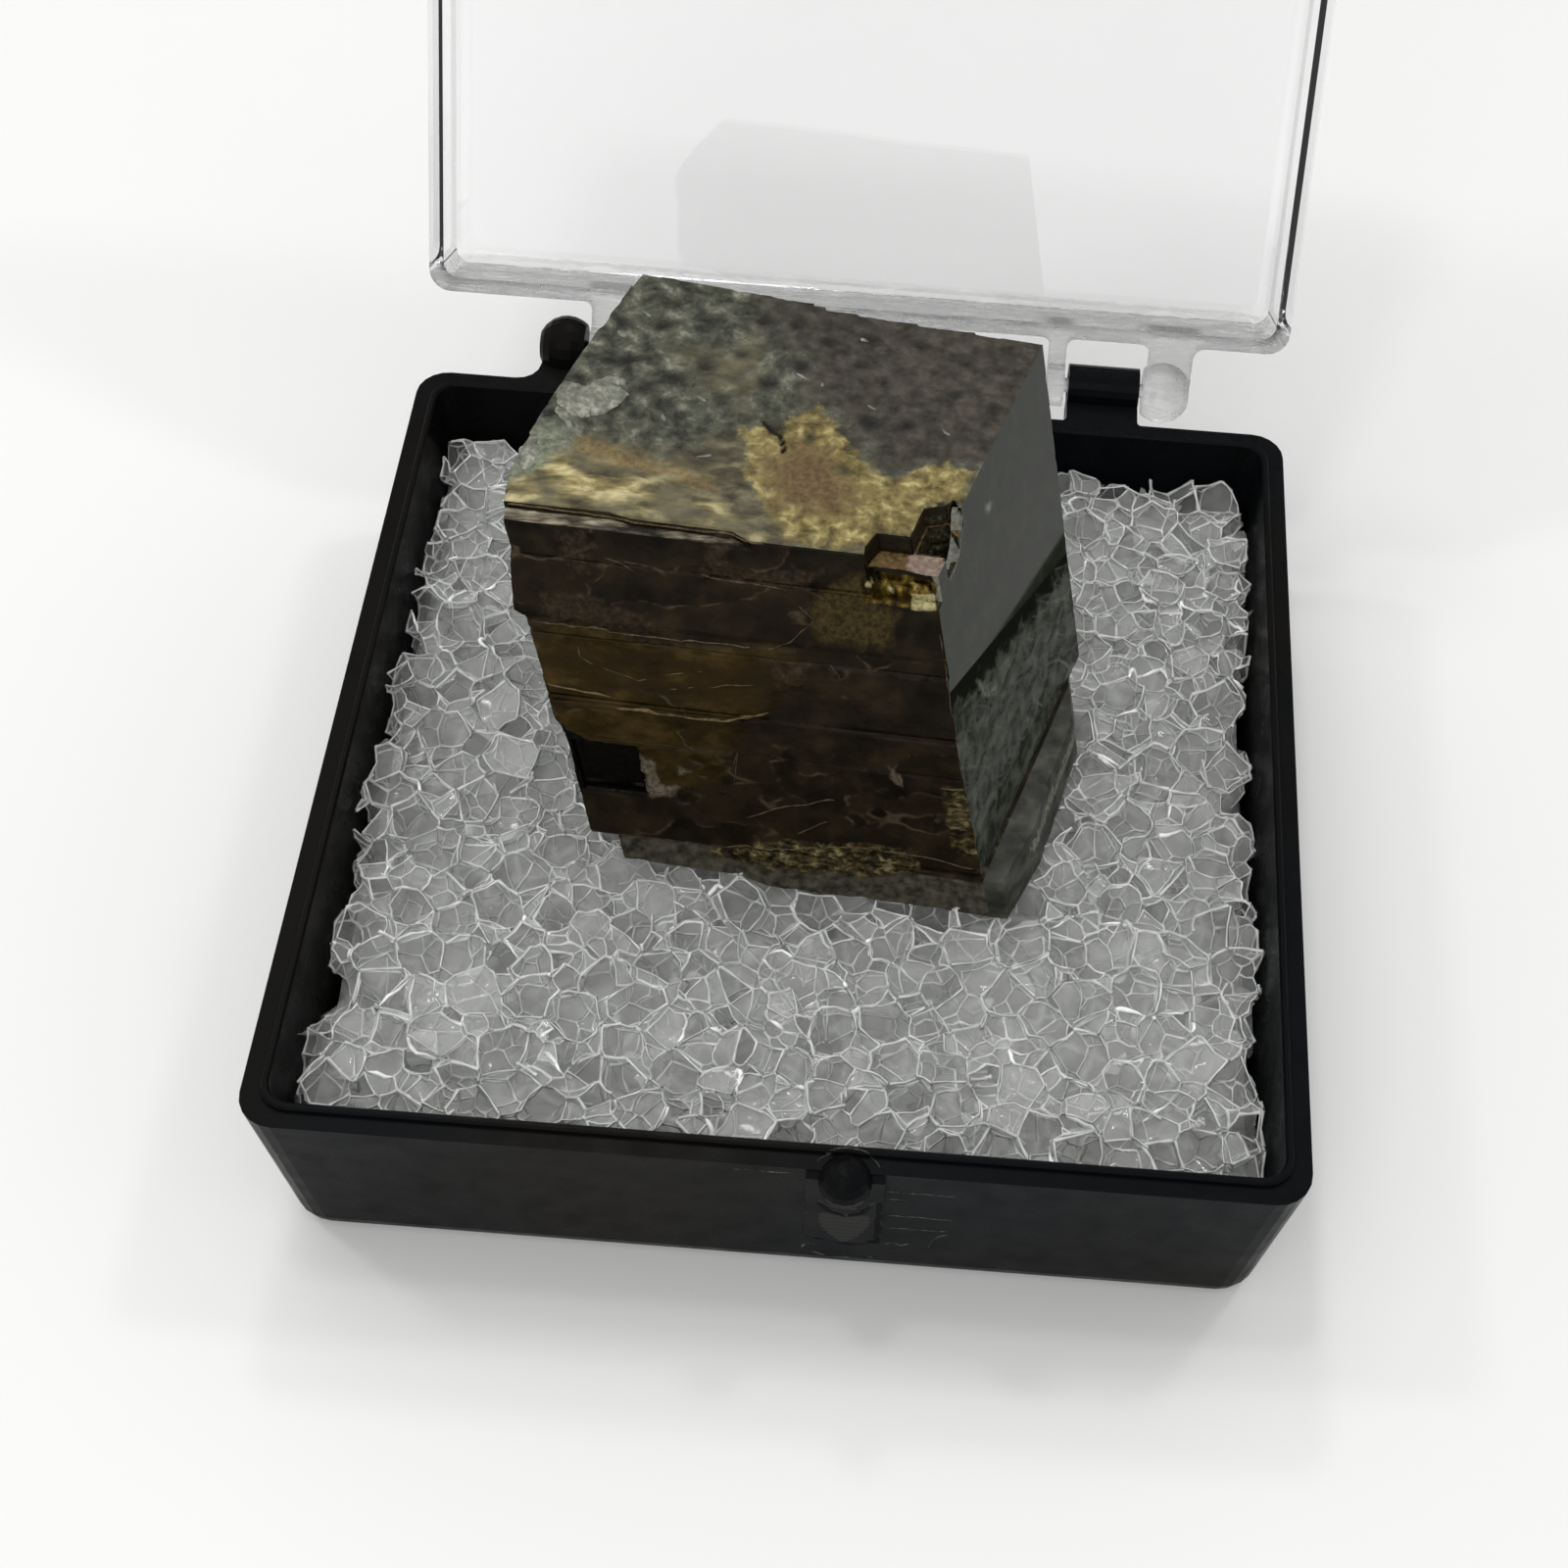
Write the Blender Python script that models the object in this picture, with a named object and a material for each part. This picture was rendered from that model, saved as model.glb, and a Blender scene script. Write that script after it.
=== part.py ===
"""Siderite cleavage block resting on cellular foam in a hinged display box.

Four pieces: the moulded box base, the foam pad, the siderite block and the clear
lid.  Lengths are written in millimetres and scaled to metres when a mesh is made.
+X is to the right, +Y to the hinge side, +Z up, and the origin is the middle of
the underside of the box.
"""
import math

import bmesh
import bpy
from mathutils import Matrix, Vector

MM = 0.001
GAP = 0.3                      # clearance between pieces that touch

# ---- box base ---------------------------------------------------------------
BOX_SIDE = 57.0                # outer side of the square rim
BOX_HEIGHT = 13.4              # underside to the flat rim ledge
BOX_DRAFT_INSET = 1.15         # how far the wall leans in at the underside
BOX_CORNER_R = 2.0
BOX_FOOT_R = 1.3               # rounding between wall and underside
LEDGE_W = 1.0                  # flat outer part of the rim
LIP_W = 0.45                   # raised inner part of the rim
LIP_H = 0.35
FLOOR_T = 1.3
WALL_INSET_LOW = 0.75          # inner wall leans in by this at the floor
CORNER_STEPS = 5

# ---- hinge, shared by base and lid ------------------------------------------
AXIS_BEHIND = 3.15             # axis behind the rim's outer edge
AXIS_ABOVE = 0.15              # axis above the rim ledge
BARREL_R = 1.45
BALL_R = 2.05
PIN_R = 0.5
BORE_R = 0.85
PIN_L = 1.0
LUG_T = 2.2                    # height of a lug below (base) or above (lid) the rim
BALL_OUT = 21.0                # |x| of the outer end of a ball knuckle
BALL_IN = 18.0                 # |x| of its inner end
BARREL_IN = 14.2               # |x| of the inner end of a barrel knuckle
BARREL_OUT = 18.9
CHEEK_IN = 12.8                # thin cheek beyond the barrel's inner end
CHEEK_OUT = 13.9
ROUND_STEPS = 20

# ---- front catch --------------------------------------------------------------
CATCH_X = 3.85
CATCH_R = 1.45
CATCH_DROP = 0.55              # ball centre below the rim ledge
CATCH_OUT = 0.25               # ball centre in front of the rim edge
PAD_W = 4.2
PAD_DROP = 9.2
PAD_T = 0.3

# ---- clear lid ------------------------------------------------------------------
LID_DEPTH = 4.9
LID_PANEL_T = 1.2
LID_WALL_T = 0.95
LID_DRAFT_INSET = 0.4
LID_EDGE_R = 0.9
LID_CORNER_R = 1.4
LID_OPEN_DEG = 118.0

# ---- foam pad -------------------------------------------------------------------
FOAM_TOP = 10.55               # height of the pad's top above the underside
FOAM_LEFT = -26.45
FOAM_RIGHT = 26.45
FOAM_FRONT = -26.45
FOAM_BACK = 26.45
FOAM_CORNER_R = 1.6

# ---- siderite block ---------------------------------------------------------------
# The top and resting planes are level; the four side planes run down along SHEAR
# from the edges of the top outline, as the faces of a cleavage rhombohedron do.
TOP_Z = BOX_HEIGHT + 19.25
SHEAR = Vector((0.212, -0.295, -0.932))
LEDGE_DEPTH = 21.0             # along SHEAR, top plane to the foot of the main block
BLOCK_DEPTH = 23.35            # along SHEAR, top plane to resting face
RIGHT_LEAN = -0.011            # how far the right side leans in, per unit of depth
# Corners of the top outline, clockwise from the back left.
BACK_LEFT = (-12.0, 18.1)
BACK_STEP = (-1.4, 16.5)
BACK_STEP_IN = (-1.1, 16.2)
BACK_RIGHT = (11.25, 14.7)
FRONT_RIGHT = (5.95, -2.6)
FRONT_LEFT = (-17.05, -1.4)
LEFT_LOW = (-17.1, 1.7)
LEFT_MID = (-16.2, 5.8)
LEFT_HIGH = (-14.3, 11.9)


def clear_scene():
    """Remove whatever the file holds, so that the model stands alone."""
    for item in list(bpy.data.objects):
        bpy.data.objects.remove(item, do_unlink=True)


def make_material(name, colour, roughness, metallic=0.0, transmission=0.0):
    """Return a Principled material of one base colour."""
    material = bpy.data.materials.new(name)
    material.use_nodes = True
    shader = material.node_tree.nodes["Principled BSDF"]
    shader.inputs["Base Color"].default_value = (*colour, 1.0)
    shader.inputs["Roughness"].default_value = roughness
    shader.inputs["Metallic"].default_value = metallic
    shader.inputs["Transmission Weight"].default_value = transmission
    return material


def object_from(name, bm, origin=(0.0, 0.0, 0.0)):
    """Turn a bmesh in millimetres into an object in metres with its own origin."""
    bmesh.ops.translate(bm, verts=bm.verts, vec=-Vector(origin))
    bmesh.ops.scale(bm, verts=bm.verts, vec=(MM, MM, MM))
    bmesh.ops.recalc_face_normals(bm, faces=bm.faces)
    mesh = bpy.data.meshes.new(name)
    bm.to_mesh(mesh)
    bm.free()
    item = bpy.data.objects.new(name, mesh)
    item.location = Vector(origin) * MM
    bpy.context.scene.collection.objects.link(item)
    return item


def combine(item, other, operation):
    """Apply one Boolean of other on item and remove other."""
    modifier = item.modifiers.new("combine", "BOOLEAN")
    modifier.operation = operation
    modifier.solver = "EXACT"
    modifier.object = other
    bpy.context.view_layer.update()
    graph = bpy.context.evaluated_depsgraph_get()
    result = bpy.data.meshes.new_from_object(item.evaluated_get(graph))
    item.modifiers.clear()
    old = item.data
    item.data = result
    bpy.data.meshes.remove(old)
    bpy.data.objects.remove(other, do_unlink=True)


def tidy(item, smooth_angle=None):
    """Weld coincident corners and set the shading of one object."""
    bm = bmesh.new()
    bm.from_mesh(item.data)
    bmesh.ops.remove_doubles(bm, verts=bm.verts, dist=2e-6)
    bmesh.ops.dissolve_degenerate(bm, edges=bm.edges, dist=1e-6)
    bmesh.ops.triangulate(bm, faces=bm.faces)
    bmesh.ops.recalc_face_normals(bm, faces=bm.faces)
    bm.to_mesh(item.data)
    bm.free()
    if smooth_angle is not None:
        item.data.shade_smooth()
        item.data.set_sharp_from_angle(angle=math.radians(smooth_angle))


# ---- shape helpers -----------------------------------------------------------------

def rounded_ring(half_x, half_y, radius, z, centre=(0.0, 0.0)):
    """Corners of a rounded rectangle at height z, counter-clockwise."""
    points = []
    for quarter, (sx, sy) in enumerate(((1, 1), (-1, 1), (-1, -1), (1, -1))):
        cx = centre[0] + sx * (half_x - radius)
        cy = centre[1] + sy * (half_y - radius)
        for step in range(CORNER_STEPS + 1):
            angle = math.radians(90.0 * (quarter + step / CORNER_STEPS))
            points.append((cx + radius * math.cos(angle), cy + radius * math.sin(angle), z))
    return points


def loft(bm, rings):
    """Join rings of equally many points and close both ends."""
    loops = [[bm.verts.new(point) for point in ring] for ring in rings]
    count = len(loops[0])
    for lower, upper in zip(loops, loops[1:]):
        for index in range(count):
            after = (index + 1) % count
            bm.faces.new((lower[index], lower[after], upper[after], upper[index]))
    bm.faces.new(loops[0])
    bm.faces.new(loops[-1])


def prism(outline, low, high, axis="Z"):
    """A straight prism of a plane outline between two heights along one axis."""
    place = {
        "Z": lambda a, b, h: (a, b, h),
        "X": lambda a, b, h: (h, a, b),
    }[axis]
    bm = bmesh.new()
    loft(bm, [[place(a, b, low) for a, b in outline], [place(a, b, high) for a, b in outline]])
    return bm


def turned(profile, y, z):
    """A solid turned about the X line through (y, z) from (x, radius) pairs."""
    bm = bmesh.new()
    rings = []
    for x, radius in profile:
        rings.append([
            (x, y + radius * math.cos(math.tau * step / ROUND_STEPS),
             z + radius * math.sin(math.tau * step / ROUND_STEPS))
            for step in range(ROUND_STEPS)
        ])
    loft(bm, rings)
    return bm


# ---- hinge knuckles -------------------------------------------------------------

AXIS_Y = BOX_SIDE / 2 + AXIS_BEHIND
AXIS_Z = BOX_HEIGHT + AXIS_ABOVE
BALL_ARC = (-0.95, -0.8, -0.55, -0.25, 0.0, 0.25, 0.5, 0.7)


def ball_knuckle(side):
    """The round knob at the outer end of a hinge; side is -1 or 1."""
    half = (BALL_OUT - BALL_IN) / (BALL_ARC[-1] - BALL_ARC[0])
    middle = BALL_OUT + BALL_ARC[0] * half
    profile = [
        (side * (middle - share * half), BALL_R * math.sqrt(1 - 0.85 * share * share))
        for share in BALL_ARC
    ]
    return turned(sorted(profile), AXIS_Y, AXIS_Z)


def pin(x_from, x_to):
    """A short pin on the hinge axis, slightly tapered."""
    return turned([(x_from, PIN_R), (x_to, PIN_R * 0.9)], AXIS_Y, AXIS_Z)


def cylinder_knuckle(x_from, x_to, radius=BARREL_R):
    """A plain barrel or cheek on the hinge axis."""
    return turned([(x_from, radius), (x_to, radius)], AXIS_Y, AXIS_Z)


def lug(x_low, x_high, flare, z_low, z_high, reach):
    """The web from the wall to a knuckle, flared where it meets the wall."""
    wall = BOX_SIDE / 2 - 0.5
    edge = BOX_SIDE / 2
    outline = [(x_low - flare, wall), (x_high + flare, wall), (x_high + flare, edge)]
    for step in range(1, 5):
        angle = math.radians(90.0 * step / 4)
        outline.append((x_high + flare * (1 - math.sin(angle)), edge + flare * (1 - math.cos(angle))))
    outline.append((x_high, reach))
    outline.append((x_low, reach))
    for step in range(4, 0, -1):
        angle = math.radians(90.0 * step / 4)
        outline.append((x_low - flare * (1 - math.sin(angle)), edge + flare * (1 - math.cos(angle))))
    outline.append((x_low - flare, edge))
    return prism(outline, z_low, z_high)


def add(item, bm):
    """Union a bmesh solid onto an object."""
    combine(item, object_from("joined_shape", bm), "UNION")


def cut(item, bm):
    """Take a bmesh solid away from an object."""
    combine(item, object_from("cutting_shape", bm), "DIFFERENCE")


# ---- pieces ---------------------------------------------------------------------

def build_base():
    """The moulded tray with its rim, hinge lugs and front catch."""
    half = BOX_SIDE / 2
    low_half = half - BOX_DRAFT_INSET
    rings = []
    for share in (0.0, 1 / 3, 2 / 3, 1.0):
        angle = math.radians(90.0 * share)
        inset = BOX_FOOT_R * (1 - math.sin(angle))
        rings.append(rounded_ring(low_half - inset, low_half - inset, BOX_CORNER_R,
                                  BOX_FOOT_R * (1 - math.cos(angle))))
    ledge_in = half - LEDGE_W
    lip_in = ledge_in - LIP_W
    lip_round = 0.12
    lip_top = BOX_HEIGHT + LIP_H
    floor_half = lip_in - WALL_INSET_LOW
    for side, radius, z in (
        (half, BOX_CORNER_R, BOX_HEIGHT),
        (ledge_in, BOX_CORNER_R - 0.4, BOX_HEIGHT),
        (ledge_in, BOX_CORNER_R - 0.4, lip_top - lip_round),
        (ledge_in - lip_round, BOX_CORNER_R - 0.5, lip_top),
        (lip_in + lip_round, BOX_CORNER_R - 0.6, lip_top),
        (lip_in, BOX_CORNER_R - 0.7, lip_top - lip_round),
        (floor_half, BOX_CORNER_R - 0.7, FLOOR_T + 0.8),
        (floor_half - 0.8, BOX_CORNER_R - 0.9, FLOOR_T),
    ):
        rings.append(rounded_ring(side, side, radius, z))
    bm = bmesh.new()
    loft(bm, rings)
    base = object_from("box_base", bm)

    low, high = BOX_HEIGHT - LUG_T, BOX_HEIGHT
    add(base, lug(-BALL_OUT + 0.2, -BALL_IN, 1.5, low, high, AXIS_Y - 0.6))
    add(base, ball_knuckle(-1))
    add(base, pin(-BALL_IN - 0.3, -BALL_IN + PIN_L))
    add(base, lug(-CHEEK_OUT, -CHEEK_IN, 0.4, low, high, AXIS_Y))
    add(base, cylinder_knuckle(-CHEEK_OUT, -CHEEK_IN))
    add(base, pin(-CHEEK_OUT - PIN_L, -CHEEK_OUT + 0.3))
    add(base, lug(BARREL_IN, BARREL_OUT, 0.3, low, high, AXIS_Y))
    add(base, cylinder_knuckle(BARREL_IN, BARREL_OUT))
    cut(base, cylinder_knuckle(BARREL_IN - 1.0, BARREL_OUT + 1.0, BORE_R))

    pad_y = -BOX_SIDE / 2
    slope = BOX_DRAFT_INSET / BOX_HEIGHT
    pad_low = BOX_HEIGHT - PAD_DROP
    front_low = pad_y + slope * PAD_DROP - PAD_T
    pad_outline = [
        (pad_y - PAD_T + 0.35, BOX_HEIGHT - 0.15),
        (pad_y - PAD_T, BOX_HEIGHT - 0.5),
        (front_low, pad_low + 0.3),
        (front_low + PAD_T, pad_low),
        (front_low + PAD_T + 0.5, pad_low),
        (pad_y + 0.6, BOX_HEIGHT - 0.15),
    ]
    add(base, prism(pad_outline, CATCH_X - PAD_W / 2, CATCH_X + PAD_W / 2, axis="X"))
    add(base, catch_ball(CATCH_R))
    tidy(base, 32)
    base.data.materials.append(make_material("black_styrene", (0.02, 0.021, 0.022), 0.28))
    return base


def catch_ball(radius):
    """The round snap catch on the middle of the front rim."""
    bm = bmesh.new()
    bmesh.ops.create_uvsphere(bm, u_segments=16, v_segments=10, radius=radius)
    bmesh.ops.translate(bm, verts=bm.verts, vec=(
        CATCH_X, -BOX_SIDE / 2 - CATCH_OUT, BOX_HEIGHT - CATCH_DROP))
    return bm


def build_lid():
    """The clear lid, modelled shut over the box and swung open about its hinge."""
    half = BOX_SIDE / 2
    mouth = BOX_HEIGHT + 0.1
    top = BOX_HEIGHT + LID_DEPTH
    slope = LID_DRAFT_INSET / LID_DEPTH
    inner_top = top - LID_PANEL_T
    top_half = half - LID_DRAFT_INSET
    inner_mouth = half - LID_WALL_T
    inner_half = inner_mouth - slope * (LID_DEPTH - LID_PANEL_T)
    inner_r = LID_CORNER_R - 0.4
    rings = [
        rounded_ring(inner_half - 0.7, inner_half - 0.7, inner_r, inner_top),
        rounded_ring(inner_half, inner_half, inner_r, inner_top - 0.7),
        rounded_ring(inner_mouth, inner_mouth, inner_r, mouth),
        rounded_ring(half, half, LID_CORNER_R, mouth),
    ]
    for share in (0.0, 1 / 3, 2 / 3, 1.0):
        angle = math.radians(90.0 * share)
        side = top_half - LID_EDGE_R * (1 - math.cos(angle))
        rings.append(rounded_ring(side, side, LID_CORNER_R,
                                  top - LID_EDGE_R * (1 - math.sin(angle))))
    bm = bmesh.new()
    loft(bm, rings)
    lid = object_from("lid", bm)

    low, high = mouth, BOX_HEIGHT + LUG_T
    add(lid, lug(BALL_IN + 1.5, BALL_OUT + 1.3, 0.8, low, high, AXIS_Y - 0.6))
    bm = ball_knuckle(1)
    bmesh.ops.translate(bm, verts=bm.verts, vec=(BARREL_OUT + GAP - BALL_IN, 0.0, 0.0))
    add(lid, bm)
    add(lid, pin(BARREL_OUT + GAP - PIN_L, BARREL_OUT + GAP + 0.3))
    add(lid, lug(CHEEK_IN, CHEEK_OUT, 0.6, low, high, AXIS_Y))
    add(lid, cylinder_knuckle(CHEEK_IN, CHEEK_OUT))
    add(lid, pin(CHEEK_OUT - 0.3, CHEEK_OUT + PIN_L))
    barrel = (-BALL_IN + GAP, -BARREL_IN)
    add(lid, lug(*barrel, 0.5, low, high, AXIS_Y))
    add(lid, cylinder_knuckle(*barrel))
    cut(lid, cylinder_knuckle(barrel[0] - 0.5, barrel[1] + 0.5, BORE_R))

    add(lid, catch_hook())
    cut(lid, catch_ball(CATCH_R + GAP))
    tidy(lid, 32)
    lid.data.materials.append(
        make_material("clear_styrene", (0.93, 0.94, 0.94), 0.08, transmission=1.0))

    axis = Vector((0.0, AXIS_Y, AXIS_Z)) * MM
    lid.data.transform(Matrix.Translation(-axis))
    hinge = bpy.data.objects.new("lid_hinge_axis", None)
    hinge.location = axis
    hinge.rotation_euler = (-math.radians(LID_OPEN_DEG), 0.0, 0.0)
    bpy.context.scene.collection.objects.link(hinge)
    lid.parent = hinge
    return lid


def catch_hook():
    """The lid's tongue that snaps over the ball on the base."""
    front = -BOX_SIDE / 2
    inner = front - CATCH_OUT - CATCH_R - 0.25
    outer = inner - 0.8
    bridge_low = BOX_HEIGHT + 1.3
    bridge_high = BOX_HEIGHT + 2.5
    outline = [
        (front + 0.6, bridge_low), (front + 0.6, bridge_high), (outer + 0.5, bridge_high),
        (outer, bridge_high - 0.5), (outer, BOX_HEIGHT - 2.9), (outer + 0.4, BOX_HEIGHT - 3.3),
        (inner, BOX_HEIGHT - 2.7), (inner, bridge_low),
    ]
    half_w = PAD_W / 2 - 0.2
    return prism(outline, CATCH_X - half_w, CATCH_X + half_w, axis="X")


def build_foam():
    """The pad that fills the tray; its cells are not modelled here."""
    half_x = (FOAM_RIGHT - FOAM_LEFT) / 2
    half_y = (FOAM_BACK - FOAM_FRONT) / 2
    centre = ((FOAM_RIGHT + FOAM_LEFT) / 2, (FOAM_BACK + FOAM_FRONT) / 2)
    bottom = FLOOR_T + GAP
    bm = bmesh.new()
    loft(bm, [
        rounded_ring(half_x - 1.1, half_y - 1.1, FOAM_CORNER_R, bottom, centre),
        rounded_ring(half_x - 0.5, half_y - 0.5, FOAM_CORNER_R, bottom + 1.0, centre),
        rounded_ring(half_x, half_y, FOAM_CORNER_R, FOAM_TOP - 0.6, centre),
        rounded_ring(half_x - 0.3, half_y - 0.3, FOAM_CORNER_R, FOAM_TOP, centre),
    ])
    foam = object_from("foam_pad", bm)
    tidy(foam)
    foam.data.materials.append(make_material("white_foam", (0.62, 0.64, 0.65), 0.45))
    return foam


def on_block(x, y, depth):
    """A point of the block: a place in the top plane, moved down along SHEAR."""
    return Vector((x, y, TOP_Z)) + SHEAR * depth


def cleavage_slab(outline, depth_from, depth_to):
    """A sheared prism of an outline between two depths along SHEAR."""
    bm = bmesh.new()
    loft(bm, [[on_block(x, y, depth) for x, y in outline] for depth in (depth_to, depth_from)])
    return bm


def block_outline(left_out, front_out, right_out):
    """The block's outline in the top plane with its sides moved outwards."""
    def moved(point, dx, dy):
        return (point[0] + dx, point[1] + dy)
    # The front right corner moves along the right side, which so stays one plane.
    slant = (BACK_RIGHT[0] - FRONT_RIGHT[0]) / (BACK_RIGHT[1] - FRONT_RIGHT[1])
    return [
        moved(BACK_LEFT, -left_out, 0.0),
        BACK_STEP,
        BACK_STEP_IN,
        moved(BACK_RIGHT, right_out, 0.0),
        moved(FRONT_RIGHT, right_out - slant * front_out, -front_out),
        moved(FRONT_LEFT, -left_out, -front_out),
        moved(LEFT_LOW, -left_out, 0.0),
        moved(LEFT_MID, -left_out, 0.0),
        moved(LEFT_HIGH, -left_out, 0.0),
    ]


def build_block():
    """The siderite: one block bounded by cleavage planes, with its ledges and chips."""
    # How far the left and front sides stand out at each depth along SHEAR.  Two
    # entries close together are a small ledge across the cleavage faces.
    levels = [
        (0.0, 0.0, 0.0),
        (2.4, 0.0, 0.05),
        (2.5, 0.1, 0.2),
        (5.9, 0.7, 0.27),
        (6.3, 0.25, 0.18),
        (7.1, 0.02, 0.2),
        (7.2, 0.0, 0.42),
        (11.1, -0.12, 0.43),
        (11.2, -0.12, 0.58),
        (13.6, -0.22, 0.5),
        (13.8, -0.28, 0.38),
        (LEDGE_DEPTH, -0.18, 0.0),
    ]
    bm = bmesh.new()
    loft(bm, [
        [on_block(x, y, depth) for x, y in block_outline(left, front, RIGHT_LEAN * depth)]
        for depth, left, front in reversed(levels)
    ])
    block = object_from("siderite_crystal", bm)

    # The ledge that the block rests on: it runs out to the front and the right.
    lap = 0.3
    ledge = [
        (-10.5, 16.4), (10.2, 14.4), (10.75, 9.4), (8.75, 1.15), (6.95, -3.15), (-0.1, -2.5),
        (-6.8, -2.15), (-8.9, -1.45), (-15.5, -0.9), (-14.9, 6.2), (-13.1, 11.4),
    ]
    add(block, cleavage_slab(ledge, LEDGE_DEPTH - lap, BLOCK_DEPTH))

    # Thin sheets broken away along the front edge of the top face.
    thin = 0.4
    strip = [(-18.5, -4.0), (-18.5, -0.5), (-11.4, -0.8), (-10.25, -1.15), (-4.8, -1.5),
             (-3.8, -2.15), (-3.6, -4.2)]
    cut(block, cleavage_slab(strip, -1.0, thin))

    # Broken corner at the front right: a shelf, a stair behind it and a pit in the stair.
    shelf = [(2.3, -4.4), (2.3, -1.85), (2.85, -0.8), (4.65, -0.9), (5.25, 1.25), (6.4, 1.6),
             (6.8, 2.05), (7.05, 1.5), (9.6, 1.4), (9.6, -4.5)]
    cut(block, cleavage_slab(shelf, -1.0, 1.1))
    stair = [(4.8, -0.8), (5.35, 1.15), (6.4, 1.5), (6.6, 0.9), (6.95, 0.6), (9.6, 0.5),
             (9.6, -1.3), (6.5, -1.35), (6.2, -0.9)]
    cut(block, cleavage_slab(stair, -1.0, 2.15))
    pit = [(5.1, -0.6), (5.5, 0.9), (6.3, 1.2), (6.35, -0.5)]
    cut(block, cleavage_slab(pit, -1.0, 3.4))
    # The front below the shelf is set back, with a slot across it.
    set_back = [(2.3, -4.5), (2.35, -1.95), (4.2, -2.05), (5.35, -2.3), (9.6, -2.2), (9.6, -4.6)]
    cut(block, cleavage_slab(set_back, -1.0, 2.75))
    slot = [(2.7, -4.5), (2.7, -1.55), (5.6, -1.7), (5.6, -4.5)]
    cut(block, cleavage_slab(slot, 1.35, 2.05))

    # Shallow missing chip low on the front.
    chip = [(-16.4, -7.3), (-16.45, -1.05), (-12.7, -1.2), (-12.25, -7.4)]
    cut(block, cleavage_slab(chip, 14.2, 17.7))
    tidy(block)
    block.data.materials.append(make_material("siderite_brown", (0.07, 0.055, 0.04), 0.3))
    return block


def main():
    clear_scene()
    build_base()
    build_foam()
    build_block()
    build_lid()


main()
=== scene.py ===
"""Looks for the siderite block in its hinged display box.

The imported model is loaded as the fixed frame.  The foam pad and the siderite
block are replaced by detailed meshes; the tray and the lid keep their solids and
get finished materials.  Lengths are in millimetres unless a name says otherwise.
"""
import math
import random

import bmesh
import bpy
import numpy as np
from mathutils import Euler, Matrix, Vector, noise
from mathutils.bvhtree import BVHTree


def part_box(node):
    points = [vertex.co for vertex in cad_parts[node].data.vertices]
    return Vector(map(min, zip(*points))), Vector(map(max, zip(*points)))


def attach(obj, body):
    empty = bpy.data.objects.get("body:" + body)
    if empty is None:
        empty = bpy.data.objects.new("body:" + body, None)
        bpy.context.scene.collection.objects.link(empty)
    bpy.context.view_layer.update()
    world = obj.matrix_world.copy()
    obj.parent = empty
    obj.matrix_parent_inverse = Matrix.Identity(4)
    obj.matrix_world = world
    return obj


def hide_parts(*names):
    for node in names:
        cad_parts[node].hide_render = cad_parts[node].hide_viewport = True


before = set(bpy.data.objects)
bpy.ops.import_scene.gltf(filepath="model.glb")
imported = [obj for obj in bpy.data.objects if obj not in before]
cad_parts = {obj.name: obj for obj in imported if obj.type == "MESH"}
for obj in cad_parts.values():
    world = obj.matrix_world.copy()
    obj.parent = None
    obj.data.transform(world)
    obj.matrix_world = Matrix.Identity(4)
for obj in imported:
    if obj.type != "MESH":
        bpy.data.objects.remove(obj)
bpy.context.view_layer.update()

MM = 0.001

# ---- camera --------------------------------------------------------------------------
CAMERA_AT = (5.08, -92.84, 131.69)
CAMERA_TURN_DEG = (37.226, -2.718, 3.500)
LENS = 58.25
SENSOR = 36.0
SHIFT_X = -0.075

# ---- places taken from the frame -----------------------------------------------------


def node_box_mm(name):
    """Lowest and highest corner of a CAD node in millimetres."""
    low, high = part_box(name)
    return low / MM, high / MM


FOAM_LOW, FOAM_HIGH = node_box_mm("foam_pad")
_, BLOCK_HIGH = node_box_mm("siderite_crystal")


# ---- node helpers --------------------------------------------------------------------

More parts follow.
